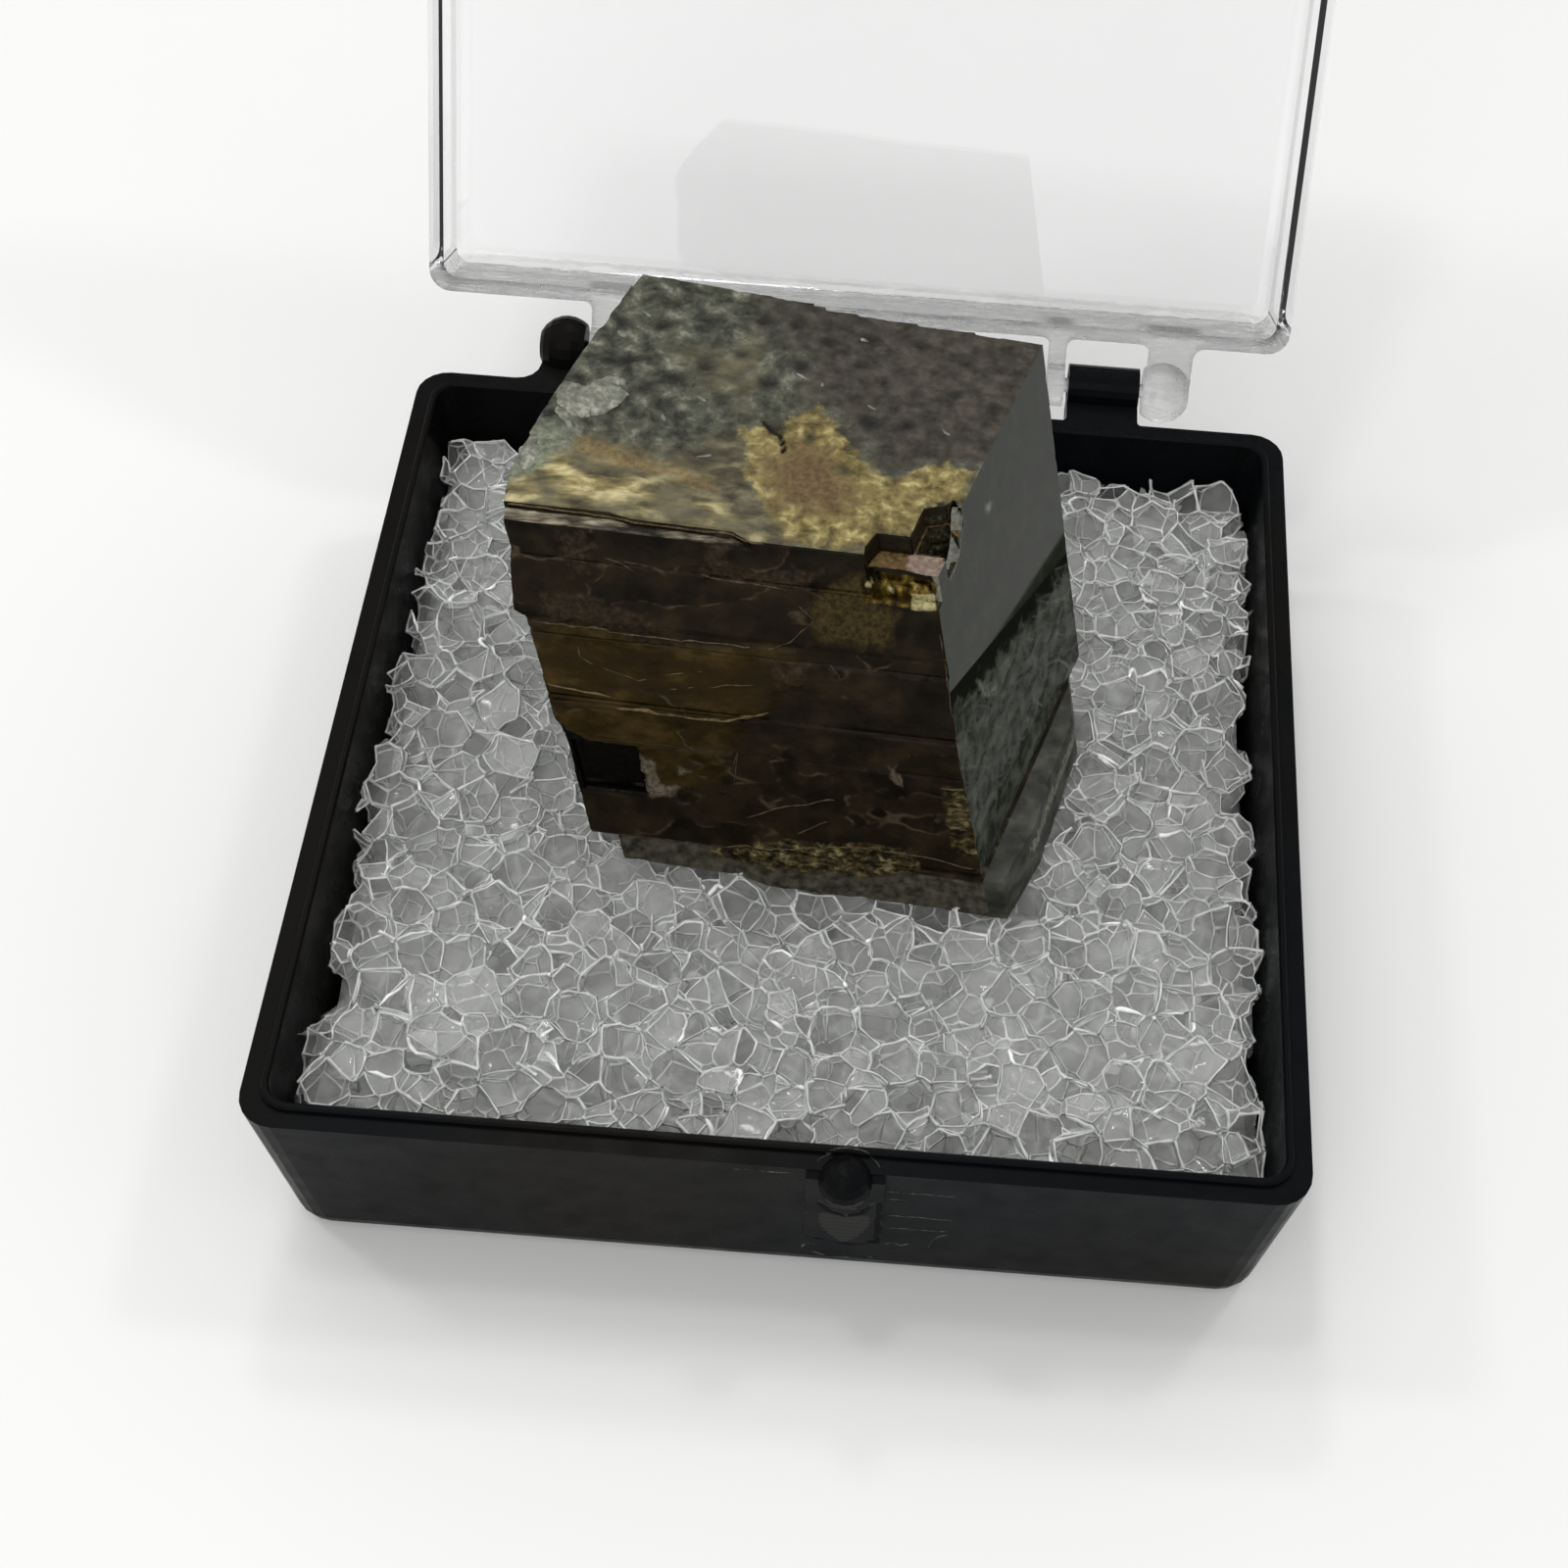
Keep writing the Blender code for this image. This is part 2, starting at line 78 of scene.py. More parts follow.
class Graph:
    """A small helper that adds shader nodes and links them."""

    def __init__(self, name):
        self.material = bpy.data.materials.new(name)
        self.material.use_nodes = True
        self.tree = self.material.node_tree
        self.shader = self.tree.nodes["Principled BSDF"]

    def node(self, kind, **settings):
        """Add a node and set its properties."""
        made = self.tree.nodes.new(kind)
        for key, value in settings.items():
            setattr(made, key, value)
        return made

    def link(self, source, target):
        """Link a socket to an input, or set the input to a value."""
        if isinstance(source, bpy.types.NodeSocket):
            self.tree.links.new(source, target)
        else:
            target.default_value = source

    def place(self, scale=1.0 / MM):
        """Object coordinates in millimetres (times an optional factor)."""
        where = self.node("ShaderNodeTexCoord").outputs["Object"]
        grown = self.node("ShaderNodeVectorMath", operation="SCALE")
        self.link(where, grown.inputs[0])
        grown.inputs["Scale"].default_value = scale
        return grown.outputs[0]

    def stretched(self, vector, scale, turn=(0.0, 0.0, 0.0)):
        """A vector turned and scaled by separate factors along X, Y and Z."""
        mapping = self.node("ShaderNodeMapping")
        mapping.inputs["Scale"].default_value = scale
        mapping.inputs["Rotation"].default_value = turn
        self.link(vector, mapping.inputs["Vector"])
        return mapping.outputs[0]

    def noise(self, vector, scale, detail=4.0, roughness=0.55, distortion=0.0):
        """Smooth random values about 0.5."""
        made = self.node("ShaderNodeTexNoise")
        self.link(vector, made.inputs["Vector"])
        made.inputs["Scale"].default_value = scale
        made.inputs["Detail"].default_value = detail
        made.inputs["Roughness"].default_value = roughness
        made.inputs["Distortion"].default_value = distortion
        return made.outputs["Fac"]

    def cell_edges(self, vector, scale):
        """Distance from the edges of a random cell pattern."""
        made = self.node("ShaderNodeTexVoronoi", feature="DISTANCE_TO_EDGE")
        self.link(vector, made.inputs["Vector"])
        made.inputs["Scale"].default_value = scale
        return made.outputs["Distance"]

    def shades(self, value, *stops):
        """Map a value through colours, each a stop of (position, red, green, blue)."""
        made = self.node("ShaderNodeValToRGB")
        self.link(value, made.inputs["Fac"])
        ramp = made.color_ramp
        while len(ramp.elements) < len(stops):
            ramp.elements.new(0.5)
        for element, (position, *colour) in zip(ramp.elements, stops):
            element.position = position
            element.color = (*colour, 1.0)
        return made.outputs["Color"]

    def ramp(self, value, *stops):
        """Map a value through stops of (position, level)."""
        return self.shades(value, *((position, level, level, level) for position, level in stops))

    def math(self, operation, first, second=0.0, clamp=False):
        """One step of arithmetic."""
        made = self.node("ShaderNodeMath", operation=operation, use_clamp=clamp)
        self.link(first, made.inputs[0])
        self.link(second, made.inputs[1])
        return made.outputs[0]

    def mix(self, share, first, second):
        """Mix two colours by a share."""
        made = self.node("ShaderNodeMix", data_type="RGBA")
        self.link(share, made.inputs["Factor"])
        for value, socket in ((first, made.inputs[6]), (second, made.inputs[7])):
            if not isinstance(value, bpy.types.NodeSocket) and len(value) == 3:
                value = (*value, 1.0)
            self.link(value, socket)
        return made.outputs[2]

    def attribute(self, name):
        """A value stored on the mesh, by name."""
        made = self.node("ShaderNodeAttribute", attribute_name=name)
        return made.outputs["Fac"]

    def bump(self, height, strength, distance_mm, normal=None):
        """A normal bent by a height, over another normal if one is given."""
        made = self.node("ShaderNodeBump")
        made.inputs["Strength"].default_value = strength
        made.inputs["Distance"].default_value = distance_mm * MM
        self.link(height, made.inputs["Height"])
        if normal is not None:
            self.link(normal, made.inputs["Normal"])
        return made.outputs["Normal"]

    def set(self, **values):
        """Set or link inputs of the Principled shader; underscores stand for spaces."""
        for key, value in values.items():
            self.link(value, self.shader.inputs[key.replace("_", " ")])


# ---- geometry helpers ----------------------------------------------------------------

def add_object(name, mesh, material):
    """Put a mesh in the scene with one material, riding on the box."""
    item = bpy.data.objects.new(name, mesh)
    bpy.context.scene.collection.objects.link(item)
    mesh.materials.append(material)
    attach(item, "box")
    return item


def mesh_from(name, points_mm, faces):
    """A mesh from points in millimetres and lists of corner indices."""
    mesh = bpy.data.meshes.new(name)
    mesh.from_pydata([tuple(c * MM for c in point) for point in points_mm], [], faces)
    mesh.validate()
    mesh.shade_smooth()
    mesh.update()
    return mesh


def mesh_in_mm(mesh):
    """An editable copy of a mesh, scaled to millimetres."""
    bm = bmesh.new()
    bm.from_mesh(mesh)
    bmesh.ops.scale(bm, verts=bm.verts, vec=(1 / MM,) * 3)
    return bm


def search_tree(mesh):
    """A tree in millimetres that finds where rays meet a mesh."""
    bm = mesh_in_mm(mesh)
    tree = BVHTree.FromBMesh(bm)
    bm.free()
    return tree


# ---- foam ----------------------------------------------------------------------------
FOAM_SEED = 11
FOAM_SURFACE = 10.70            # mean height of the torn top surface above the underside
FOAM_CELL_DEPTH = 3.8           # how deep the modelled cells go
CELL_SIZES = (1.36, 1.14, 0.94, 0.76, 0.60)
CELL_TRIALS = 8200              # places tried for a cell size of 1
CELL_REACH = 4.4                # farthest neighbour that can shape a cell
CELL_NEIGHBOURS = 50            # one more than the neighbours that are looked at
CELL_CROWDING = 0.86            # how near two cells may come, as a share of their radii
BOX_SIDE, PAD_SIDE, TORN_TOP = -1, -2, -3    # labels of walls that face no other cell
BEND_SCALE, BEND_BROAD = 0.42, 0.34          # scale and size of the foam's broad bends
BEND_FINER, BEND_FINE = 3.1, 0.22            # the finer bends, on a scale this much smaller
STRUT_R = 0.088
SHORTEST_STRUT = 0.12
FILM_SAG = 0.12                 # bulge of a film as a share of its size
FILM_FINE_DEPTH = 1.0           # films that reach above this depth get a second ring
CAP_SHARE = 0.22                # share of the top cells that are still closed
STRUT_DEPTH = 2.0               # struts are modelled down to here
GLINT_BEADS = 210                     # thick rims on the surface, near white as painted glints
BEAD_R = 0.125
BEAD_DEPTH = 1.1                # beads start above this depth
BEAD_LIFT = 0.05
FLAPS = 800                     # torn scraps of film on the surface
FLAP_DEPTH = 0.7                # flaps stand on rims above this depth
FLAP_CUTS = 3                   # a flap is this many quads wide and high


def foam_seeds():
    """Points and radii of the foam cells, packed at random without crowding."""
    rng = np.random.default_rng(FOAM_SEED)
    low = np.array([FOAM_LOW[0] - 1.0, FOAM_LOW[1] - 1.0, FOAM_SURFACE - FOAM_CELL_DEPTH - 1.0])
    high = np.array([FOAM_HIGH[0] + 1.0, FOAM_HIGH[1] + 1.0, FOAM_SURFACE + 1.2])
    points = np.empty((0, 3))
    radii = np.empty(0)
    for size in CELL_SIZES:
        for trial in rng.uniform(low, high, (int(CELL_TRIALS / size), 3)):
            own = size * rng.uniform(0.88, 1.06)
            if len(points):
                gap = np.linalg.norm(points - trial, axis=1)
                if (gap < CELL_CROWDING * (radii + own)).any():
                    continue
            points = np.vstack([points, trial])
            radii = np.append(radii, own)
    return points, radii


def clip_cell(faces, normal, offset, label):
    """Cut a convex cell, a list of (label, corners), to the side normal.x <= offset."""
    kept = []
    rim = []
    for face_label, corners in faces:
        side = corners @ normal - offset
        if (side <= 1e-9).all():
            kept.append((face_label, corners))
            continue
        if (side > 1e-9).all():
            continue
        after = np.roll(corners, -1, axis=0)
        side_after = np.roll(side, -1)
        made = []
        for here, there, a, b in zip(corners, after, side, side_after):
            if a <= 0:
                made.append(here)
            if (a < 0 < b) or (b < 0 < a):
                crossing = here + (there - here) * (a / (a - b))
                made.append(crossing)
                rim.append(crossing)
        if len(made) > 2:
            kept.append((face_label, np.array(made)))
    if len(rim) > 2:
        rim = np.array(rim)
        middle = rim.mean(0)
        across = np.cross(normal, [0.31, 0.57, 0.76])
        across /= np.linalg.norm(across)
        up = np.cross(normal, across)
        order = np.argsort(np.arctan2((rim - middle) @ up, (rim - middle) @ across))
        rim = rim[order]
        apart = np.linalg.norm(rim - np.roll(rim, 1, axis=0), axis=1) > 1e-6
        rim = rim[apart]
        if len(rim) > 2:
            kept.append((label, rim))
    return kept


def box_cell(low, high):
    """The six faces of a box as a starting cell."""
    corners = np.array([[x, y, z] for x in (low[0], high[0]) for y in (low[1], high[1])
                        for z in (low[2], high[2])])
    loops = ((0, 1, 3, 2), (4, 6, 7, 5), (0, 4, 5, 1), (2, 3, 7, 6), (0, 2, 6, 4), (1, 5, 7, 3))
    return [(BOX_SIDE, corners[list(loop)]) for loop in loops]


def foam_cell(index, points, radii):
    """The cell of one seed between its neighbours' cells."""
    point = points[index]
    offsets = points - point
    distance = np.linalg.norm(offsets, axis=1)
    near = np.nonzero(distance < CELL_REACH)[0]
    near = near[np.argsort(distance[near])][1:CELL_NEIGHBOURS]
    cell = box_cell(point - CELL_REACH / 2, point + CELL_REACH / 2)
    for other in near:
        gap = distance[other]
        farthest = max(np.linalg.norm(corners - point, axis=1).max() for _, corners in cell)
        split = (gap * gap + radii[index] ** 2 - radii[other] ** 2) / (2 * gap)
        if split > farthest:
            continue
        normal = offsets[other] / gap
        cell = clip_cell(cell, normal, normal @ point + split, other)
        if not cell:
            break
    return cell


def wobble(point):
    """Bend the foam a little so that no edge stays straight."""
    where = Vector(point) * BEND_SCALE
    shift = noise.noise_vector(where) * BEND_BROAD
    shift += noise.noise_vector(where * BEND_FINER) * BEND_FINE
    return Vector(point) + shift


def foam_films(points, radii, rng):
    """The cell walls that are left: (kind, corners), kind 'cap' for closed tops."""
    floor = FOAM_SURFACE - FOAM_CELL_DEPTH
    wall_x, wall_y = FOAM_HIGH[0] - 0.05, FOAM_HIGH[1] - 0.05
    ragged = [0.9 * noise.noise(Vector(p) * 0.5) for p in points]
    kept = [
        abs(p[0]) < wall_x - 0.55 + r and abs(p[1]) < wall_y - 0.35 + r
        and p[2] < FOAM_SURFACE + 0.45
        for p, r in zip(points, ragged)
    ]
    films = []
    for index, point in enumerate(points):
        if not kept[index] or point[2] < floor - 0.3:
            continue
        cell = foam_cell(index, points, radii)
        tilt = np.array([rng.uniform(-0.3, 0.3), rng.uniform(-0.3, 0.3), 1.0])
        tilt /= np.linalg.norm(tilt)
        surface = FOAM_SURFACE + 0.45 * noise.noise(Vector(point) * 0.35) + rng.uniform(-0.25, 0.2)
        for normal, offset in (
            (np.array([1.0, 0, 0]), wall_x), (np.array([-1.0, 0, 0]), wall_x),
            (np.array([0, 1.0, 0]), wall_y), (np.array([0, -1.0, 0]), wall_y),
            (tilt, tilt @ np.array([point[0], point[1], surface])),
        ):
            cell = clip_cell(cell, normal, offset, TORN_TOP if normal is tilt else PAD_SIDE)
        for label, corners in cell:
            if label in (BOX_SIDE, PAD_SIDE):
                continue
            if label >= 0 and kept[label] and label < index:
                continue
            if corners[:, 2].max() < floor:
                continue
            if label == TORN_TOP and rng.random() > CAP_SHARE:
                continue
            films.append(("cap" if label == TORN_TOP else "wall", corners))
    return films


def film_mesh(name, films, rng):
    """Each film as a fan about a centre that bulges to one side."""
    points, faces = [], []
    for kind, corners in films:
        rim = []
        for here, there in zip(corners, np.roll(corners, -1, axis=0)):
            rim.extend((here, (here + there) / 2))
        middle = corners.mean(0)
        normal = np.cross(corners[1] - corners[0], corners[2] - corners[0])
        length = np.linalg.norm(normal)
        if length < 1e-9:
            continue
        spread = np.linalg.norm(corners - middle, axis=1).mean()
        bulge = rng.uniform(-1.0, 1.0) * FILM_SAG * spread
        if kind == "cap":
            bulge = rng.uniform(-0.35, 0.2) * spread
            normal, length = np.array([0.0, 0.0, 1.0]), 1.0
        middle = middle + normal / length * bulge
        start = len(points)
        count = len(rim)
        points.extend(wobble(p) for p in rim)
        if corners[:, 2].max() > FOAM_SURFACE - FILM_FINE_DEPTH:
            ring = start + count
            lift = normal / length * bulge * 0.2
            points.extend(wobble(p * 0.45 + middle * 0.55 + lift) for p in rim)
            for step in range(count):
                after = (step + 1) % count
                faces.append((start + step, start + after, ring + after, ring + step))
        else:
            ring = start
        points.append(wobble(middle))
        for step in range(count):
            faces.append((ring + step, ring + (step + 1) % count, len(points) - 1))
    return mesh_from(name, points, faces)


def strut_mesh(films, rng):
    """Thin three-sided bars along the edges of the films, thicker at their ends."""
    edges = {}
    for _, corners in films:
        for here, there in zip(corners, np.roll(corners, -1, axis=0)):
            if np.linalg.norm(here - there) < SHORTEST_STRUT:
                continue
            if max(here[2], there[2]) < FOAM_SURFACE - STRUT_DEPTH:
                continue
            ends = tuple(sorted((tuple(np.round(here, 2)), tuple(np.round(there, 2)))))
            edges.setdefault(ends, (here, there))
    points, faces = [], []
    for here, there in edges.values():
        stops = [wobble(here), wobble((here + there) / 2), wobble(there)]
        along = (stops[2] - stops[0]).normalized()
        side = along.orthogonal().normalized()
        up = along.cross(side)
        radius = STRUT_R * rng.uniform(0.7, 1.3)
        start = len(points)
        for stop, swell in zip(stops, (1.35, 0.75, 1.35)):
            for corner in range(3):
                angle = math.tau * corner / 3
                out = side * math.cos(angle) + up * math.sin(angle)
                points.append(stop + out * radius * swell)
        for ring in range(2):
            for corner in range(3):
                a = start + ring * 3 + corner
                b = start + ring * 3 + (corner + 1) % 3
                faces.append((a, b, b + 3, a + 3))
    return mesh_from("foam_struts", points, faces)


def flap_mesh(films, rng):
    """Curled scraps of torn film that stand up from the rims of the top cells."""
    rims = []
    for _, corners in films:
        for here, there in zip(corners, np.roll(corners, -1, axis=0)):
            high = min(here[2], there[2]) > FOAM_SURFACE - FLAP_DEPTH
            if high and np.linalg.norm(here - there) > 0.5:
                rims.append((here, there))
    points, faces = [], []
    for here, there in rng.sample(rims, min(FLAPS, len(rims))):
        along = there - here
        lean = np.array([rng.uniform(-1, 1), rng.uniform(-1, 1), rng.uniform(0.15, 0.8)])
        height = rng.uniform(0.25, 0.8)
        curl = rng.uniform(-0.7, 0.7)
        sideways = np.cross(along / np.linalg.norm(along), lean)
        start = len(points)
        for row in range(FLAP_CUTS + 1):
            up = row / FLAP_CUTS
            taper = 1.0 - 0.75 * up ** 1.4 * rng.uniform(0.6, 1.1)
            for column in range(FLAP_CUTS + 1):
                share = 0.5 + (column / FLAP_CUTS - 0.5) * taper
                place = here + along * share + lean * height * up
                place = place + sideways * curl * height * up * up
                points.append(wobble(place))
        for row in range(FLAP_CUTS):
            for column in range(FLAP_CUTS):
                a = start + row * (FLAP_CUTS + 1) + column
                faces.append((a, a + 1, a + FLAP_CUTS + 2, a + FLAP_CUTS + 1))
    return mesh_from("foam_flaps", points, faces)


def tube(points, faces, path, radii, sides=5):
    """A round bar through a path, closed to a point at both ends."""
    start = len(points)
    for index, (stop, radius) in enumerate(zip(path, radii)):
        ahead = path[min(index + 1, len(path) - 1)] - path[max(index - 1, 0)]
        side = ahead.cross(Vector((0.2, 0.3, 1.0))).normalized()
        up = ahead.cross(side).normalized()
        for corner in range(sides):
            angle = math.tau * corner / sides
            points.append(stop + (side * math.cos(angle) + up * math.sin(angle)) * radius)
    for ring in range(len(path) - 1):
        for corner in range(sides):
            a = start + ring * sides + corner
            b = start + ring * sides + (corner + 1) % sides
            faces.append((a, b, b + sides, a + sides))


def glint_bead_mesh(films, rng):
    """Thick, curved rims along part of the mouth of some top cells, painted near white as glints.
    """
    mouths = []
    for _, corners in films:
        high = corners[:, 2] > FOAM_SURFACE - BEAD_DEPTH
        if len(corners) >= 4 and high.sum() >= 3:
            mouths.append(corners[high])
    points, faces = [], []
    for corners in rng.sample(mouths, min(GLINT_BEADS, len(mouths))):
        count = rng.choice((2, 3, 3, 4))
        stops = [Vector(corner) for corner in corners[:count]]
        path = []
        for here, there in zip(stops, stops[1:]):
            path.extend(here.lerp(there, share) for share in (0.0, 0.34, 0.67))
        path.append(stops[-1])
        for _ in range(2):
            middle = [(a + 2.0 * b + c) / 4.0 for a, b, c in zip(path, path[1:], path[2:])]
            path = [path[0]] + middle + [path[-1]]
        shift = Vector((0.0, 0.0, BEAD_LIFT))
        path = [wobble(stop + noise.noise_vector(stop * 2.0) * 0.12 + shift) for stop in path]
        thick = BEAD_R * rng.uniform(0.55, 1.25)
        turns = [math.pi * index / (len(path) - 1) for index in range(len(path))]
        radii = [thick * (0.12 + math.sin(turn) ** 0.6) for turn in turns]
        tube(points, faces, path, radii)
    return mesh_from("foam_glint_beads", points, faces)


def foam_glint_bead_material():
    """Thick rims painted near white as glints, glossy as well."""
    g = Graph("foam_glint_bead")
    where = g.place()
    # Near-white colour painted as glints on the rims.
    tone = g.shades(
        g.noise(where, 1.5, detail=3.0), (0.35, 0.72, 0.73, 0.71), (0.55, 0.98, 0.99, 0.97))
    g.set(Base_Color=tone, Roughness=0.09, IOR=1.6)
    g.set(Normal=g.bump(g.noise(where, 3.0), 0.2, 0.1))
    return g.material


def foam_film_material():
    """Thin translucent polymer film."""
    g = Graph("foam_film")
    g.set(Base_Color=(0.74, 0.75, 0.73, 1.0), Roughness=0.07, Alpha=0.20, IOR=1.6)
    return g.material


def foam_flap_material():
    """Torn film that curls up and catches the light."""
    g = Graph("foam_flap")
    g.set(Base_Color=(0.73, 0.74, 0.72, 1.0), Roughness=0.07, Alpha=0.24, IOR=1.75)
    return g.material


def foam_strut_material():
    """The thicker, whiter edges of the cells."""
    g = Graph("foam_strut")
    where = g.place()
    tone = g.shades(
        g.noise(where, 0.8, detail=1.0), (0.3, 0.42, 0.43, 0.415), (0.7, 0.66, 0.67, 0.65))
    g.set(Base_Color=tone, Roughness=0.16, IOR=1.6)
    return g.material


def foam_core_material():
    """What shows through the deepest films."""
    g = Graph("foam_core")
    where = g.place()
    edges = g.ramp(g.cell_edges(where, 0.42), (0.02, 0.95), (0.14, 0.35))
    tone = g.mix(edges, (0.22, 0.22, 0.215), (0.50, 0.51, 0.50))
    g.set(Base_Color=tone, Roughness=0.6)
    g.set(Normal=g.bump(edges, 0.5, 0.4))
    return g.material


def foam_core_mesh():
    """The lower part of the pad, below the modelled cells, with a hummocky top."""
    steps = 60
    top = FOAM_SURFACE - FOAM_CELL_DEPTH + 0.6
    half_x, half_y = FOAM_HIGH[0] - 0.5, FOAM_HIGH[1] - 0.5
    row = steps + 1
    points, faces = [], []
    for j in range(row):
        for i in range(row):
            x = -half_x + 2 * half_x * i / steps
            y = -half_y + 2 * half_y * j / steps
            points.append((x, y, top + 0.7 * noise.noise(Vector((x, y, 3.0)) * 0.6)))
    for j in range(steps):
        for i in range(steps):
            a = j * row + i
            faces.append((a, a + 1, a + 1 + row, a + row))
    rim = list(range(row)) + [j * row + steps for j in range(1, row)]
    rim += [steps * row + i for i in range(steps - 1, -1, -1)]
    rim += [j * row for j in range(steps - 1, 0, -1)]
    start = len(points)
    points.extend((points[index][0], points[index][1], FOAM_LOW[2]) for index in rim)
    count = len(rim)
    for step in range(count):
        after = (step + 1) % count
        faces.append((rim[step], start + step, start + after, rim[after]))
    faces.append(tuple(start + step for step in reversed(range(count))))
    return mesh_from("foam_core", points, faces)


def add_foam():
    """The foam pad: films, struts, flaps, thick rims painted white as glints and the core below
    them.
    """
    rng = random.Random(FOAM_SEED)
    noise.seed_set(FOAM_SEED)       # noise vectors take their offsets from the clock otherwise
    films = foam_films(*foam_seeds(), rng)
    film = foam_film_material()
    upper = [f for f in films if f[1][:, 2].max() > FOAM_SURFACE - FILM_FINE_DEPTH]
    lower = [f for f in films if f[1][:, 2].max() <= FOAM_SURFACE - FILM_FINE_DEPTH]
    pieces = (
        add_object("foam_films", film_mesh("foam_films", upper, rng), film),
        add_object("foam_films_low", film_mesh("foam_films_low", lower, rng), film),
        add_object("foam_struts", strut_mesh(films, rng), foam_strut_material()),
        add_object("foam_flaps", flap_mesh(films, rng), foam_flap_material()),
        add_object("foam_glint_beads", glint_bead_mesh(films, rng), foam_glint_bead_material()),
        add_object("foam_core", foam_core_mesh(), foam_core_material()),
    )
    for piece in pieces:
        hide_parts("foam_pad")


# ---- siderite block: places ----------------------------------------------------------
# Corners of the top face and the direction of its side edges, as in the solid.
TOP_Z = BLOCK_HIGH[2]
SHEAR = np.array([0.212, -0.295, -0.932])
FRONT_LEFT = np.array([-17.05, -1.4, TOP_Z])
FRONT_RIGHT = np.array([5.95, -2.6, TOP_Z])
BACK_RIGHT = np.array([11.25, 14.7, TOP_Z])
LEDGE_DEPTH = 21.0              # depth of the ledge at the foot, along SHEAR
FLANK_DEPTH = LEDGE_DEPTH - 3.0  # the flank of the foot starts below this depth
MIRROR_STEP = 0.06              # faces that stand out further than this aren't the mirror
SHELF_DEPTH = 1.6               # level faces above this depth are finished as the top
DICE = 0.22                     # spacing of the grid that the faces are cut into
TOP_FINISH, SIDE_FINISH, MIRROR_FINISH, FLANK_FINISH = range(4)    # material slots

# Places on the top face, (x, y).
GOLD_PATCH = [
    (-5.0, 6.0), (-4.2, 6.6), (-3.6, 6.1), (-2.8, 6.7), (-1.9, 7.7), (-0.9, 8.3), (0.0, 7.0),
    (0.9, 5.7), (1.7, 4.4), (3.0, 3.1), (3.9, 3.4), (5.4, 4.5), (6.7, 4.4), (8.0, 4.2),
    (7.2, 1.9), (5.4, 1.5), (5.2, 0.2), (4.6, -0.9), (2.8, -0.9), (2.5, -1.6), (0.7, -2.3),
    (-0.8, -1.9), (-1.8, -1.9), (-2.9, -0.2), (-4.5, 2.8), (-4.4, 4.2),
]
RED_CENTRE = [(-3.9, 3.6), (-1.9, 5.5), (0.3, 4.6), (1.6, 2.2), (0.4, 0.4), (-2.4, 0.9)]
YELLOW_BAND = [
    (-17.4, 0.3), (-15.9, 1.8), (-14.8, 3.0), (-13.2, 3.4), (-11.0, 2.3), (-8.7, 2.3),
    (-7.3, 1.1), (-5.2, 0.4), (-4.0, -0.8), (-3.2, -1.9), (-7.7, -1.5), (-11.4, -0.9),
    (-17.4, -0.9),
]
DULL_ZONE = [
    (-16.5, 2.5), (-13.0, 4.6), (-9.0, 3.7), (-6.2, 5.4), (-4.4, 6.6), (-2.6, 7.0), (2.0, 4.6),
    (3.0, -3.0), (-4.0, -2.6), (-16.5, -1.8),
]
OCHRE_SHADE = [(-14.6, 2.6), (-13.4, 4.6), (-10.8, 3.9), (-7.4, 2.6), (-6.0, 1.6), (-9.4, 1.9)]
PURPLE_PART = [
    (-5.5, 19.5), (-3.4, 13.0), (-1.4, 11.0), (-0.8, 8.2), (0.9, 5.7), (3.0, 3.0), (4.0, 3.3),
    (6.9, 4.4), (13.0, 4.0), (14.0, 18.0),
]
YELLOWISH_STREAKS = [
    (-9.6, 12.8), (-7.4, 11.9), (-5.7, 12.6), (-5.0, 13.5), (-4.4, 9.8), (-5.2, 8.0), (-8.2, 9.9),
]
GREEN_CORNER = [
    (-17.3, -0.5), (-17.2, 4.6), (-15.4, 5.6), (-13.6, 3.8), (-15.2, 1.6), (-15.9, -0.4),
]
DARK_SPOTS = [
    (-11.8, 11.0, 0.55), (-10.7, 8.7, 0.45), (-9.3, 9.8, 0.55), (-7.5, 10.8, 0.6),
    (-4.6, 14.8, 0.55), (-2.7, 14.7, 0.5), (-2.2, 11.3, 0.5), (-4.0, 9.9, 0.55),
    (1.5, 14.1, 0.6), (4.4, 13.8, 0.4), (1.0, 11.8, 0.4), (2.5, 10.6, 0.4), (1.8, 7.4, 0.6),
    (4.1, 7.4, 0.45), (-0.9, 13.6, 0.5), (-10.3, 13.8, 0.5), (-1.3, 5.9, 0.4), (0.8, 3.6, 0.4),
    (-3.0, 6.4, 0.5), (-12.4, 13.7, 0.4), (-7.9, 14.6, 0.4), (-5.6, 12.0, 0.45),
    (-6.3, 8.1, 0.4), (-8.4, 6.7, 0.4), (7.0, 12.7, 0.35), (6.4, 10.0, 0.35), (8.6, 9.3, 0.3),
]
TOP_CRACK = [(-3.9, 6.9), (-3.3, 6.2), (-2.9, 5.9), (-2.7, 5.3), (-2.6, 4.6)]

# Places on the front face, (along the top edge from the left, down along SHEAR).
GOLDEN_ZONE = [
    (-2.0, 6.7), (3.5, 6.5), (6.6, 7.1), (10.6, 6.8), (13.5, 6.3), (15.0, 6.4), (15.5, 5.9),
    (14.9, 6.8), (15.2, 8.2), (13.8, 8.8), (12.6, 10.5), (11.5, 11.3), (10.5, 12.8),
    (9.6, 14.7), (8.4, 16.4), (6.0, 17.2), (4.1, 18.0), (4.3, 14.6), (1.8, 14.3), (-2.0, 11.4),
]
BRIGHT_ZONE = [
    (-2.0, 7.2), (6.0, 7.6), (13.0, 7.2), (14.6, 7.9), (12.4, 10.0), (9.0, 11.3), (4.0, 11.0),
    (-2.0, 10.4),
]
LOWER_DARK = [(-2.0, 11.6), (1.8, 14.4), (4.2, 14.7), (4.2, 17.9), (-2.0, 18.2)]
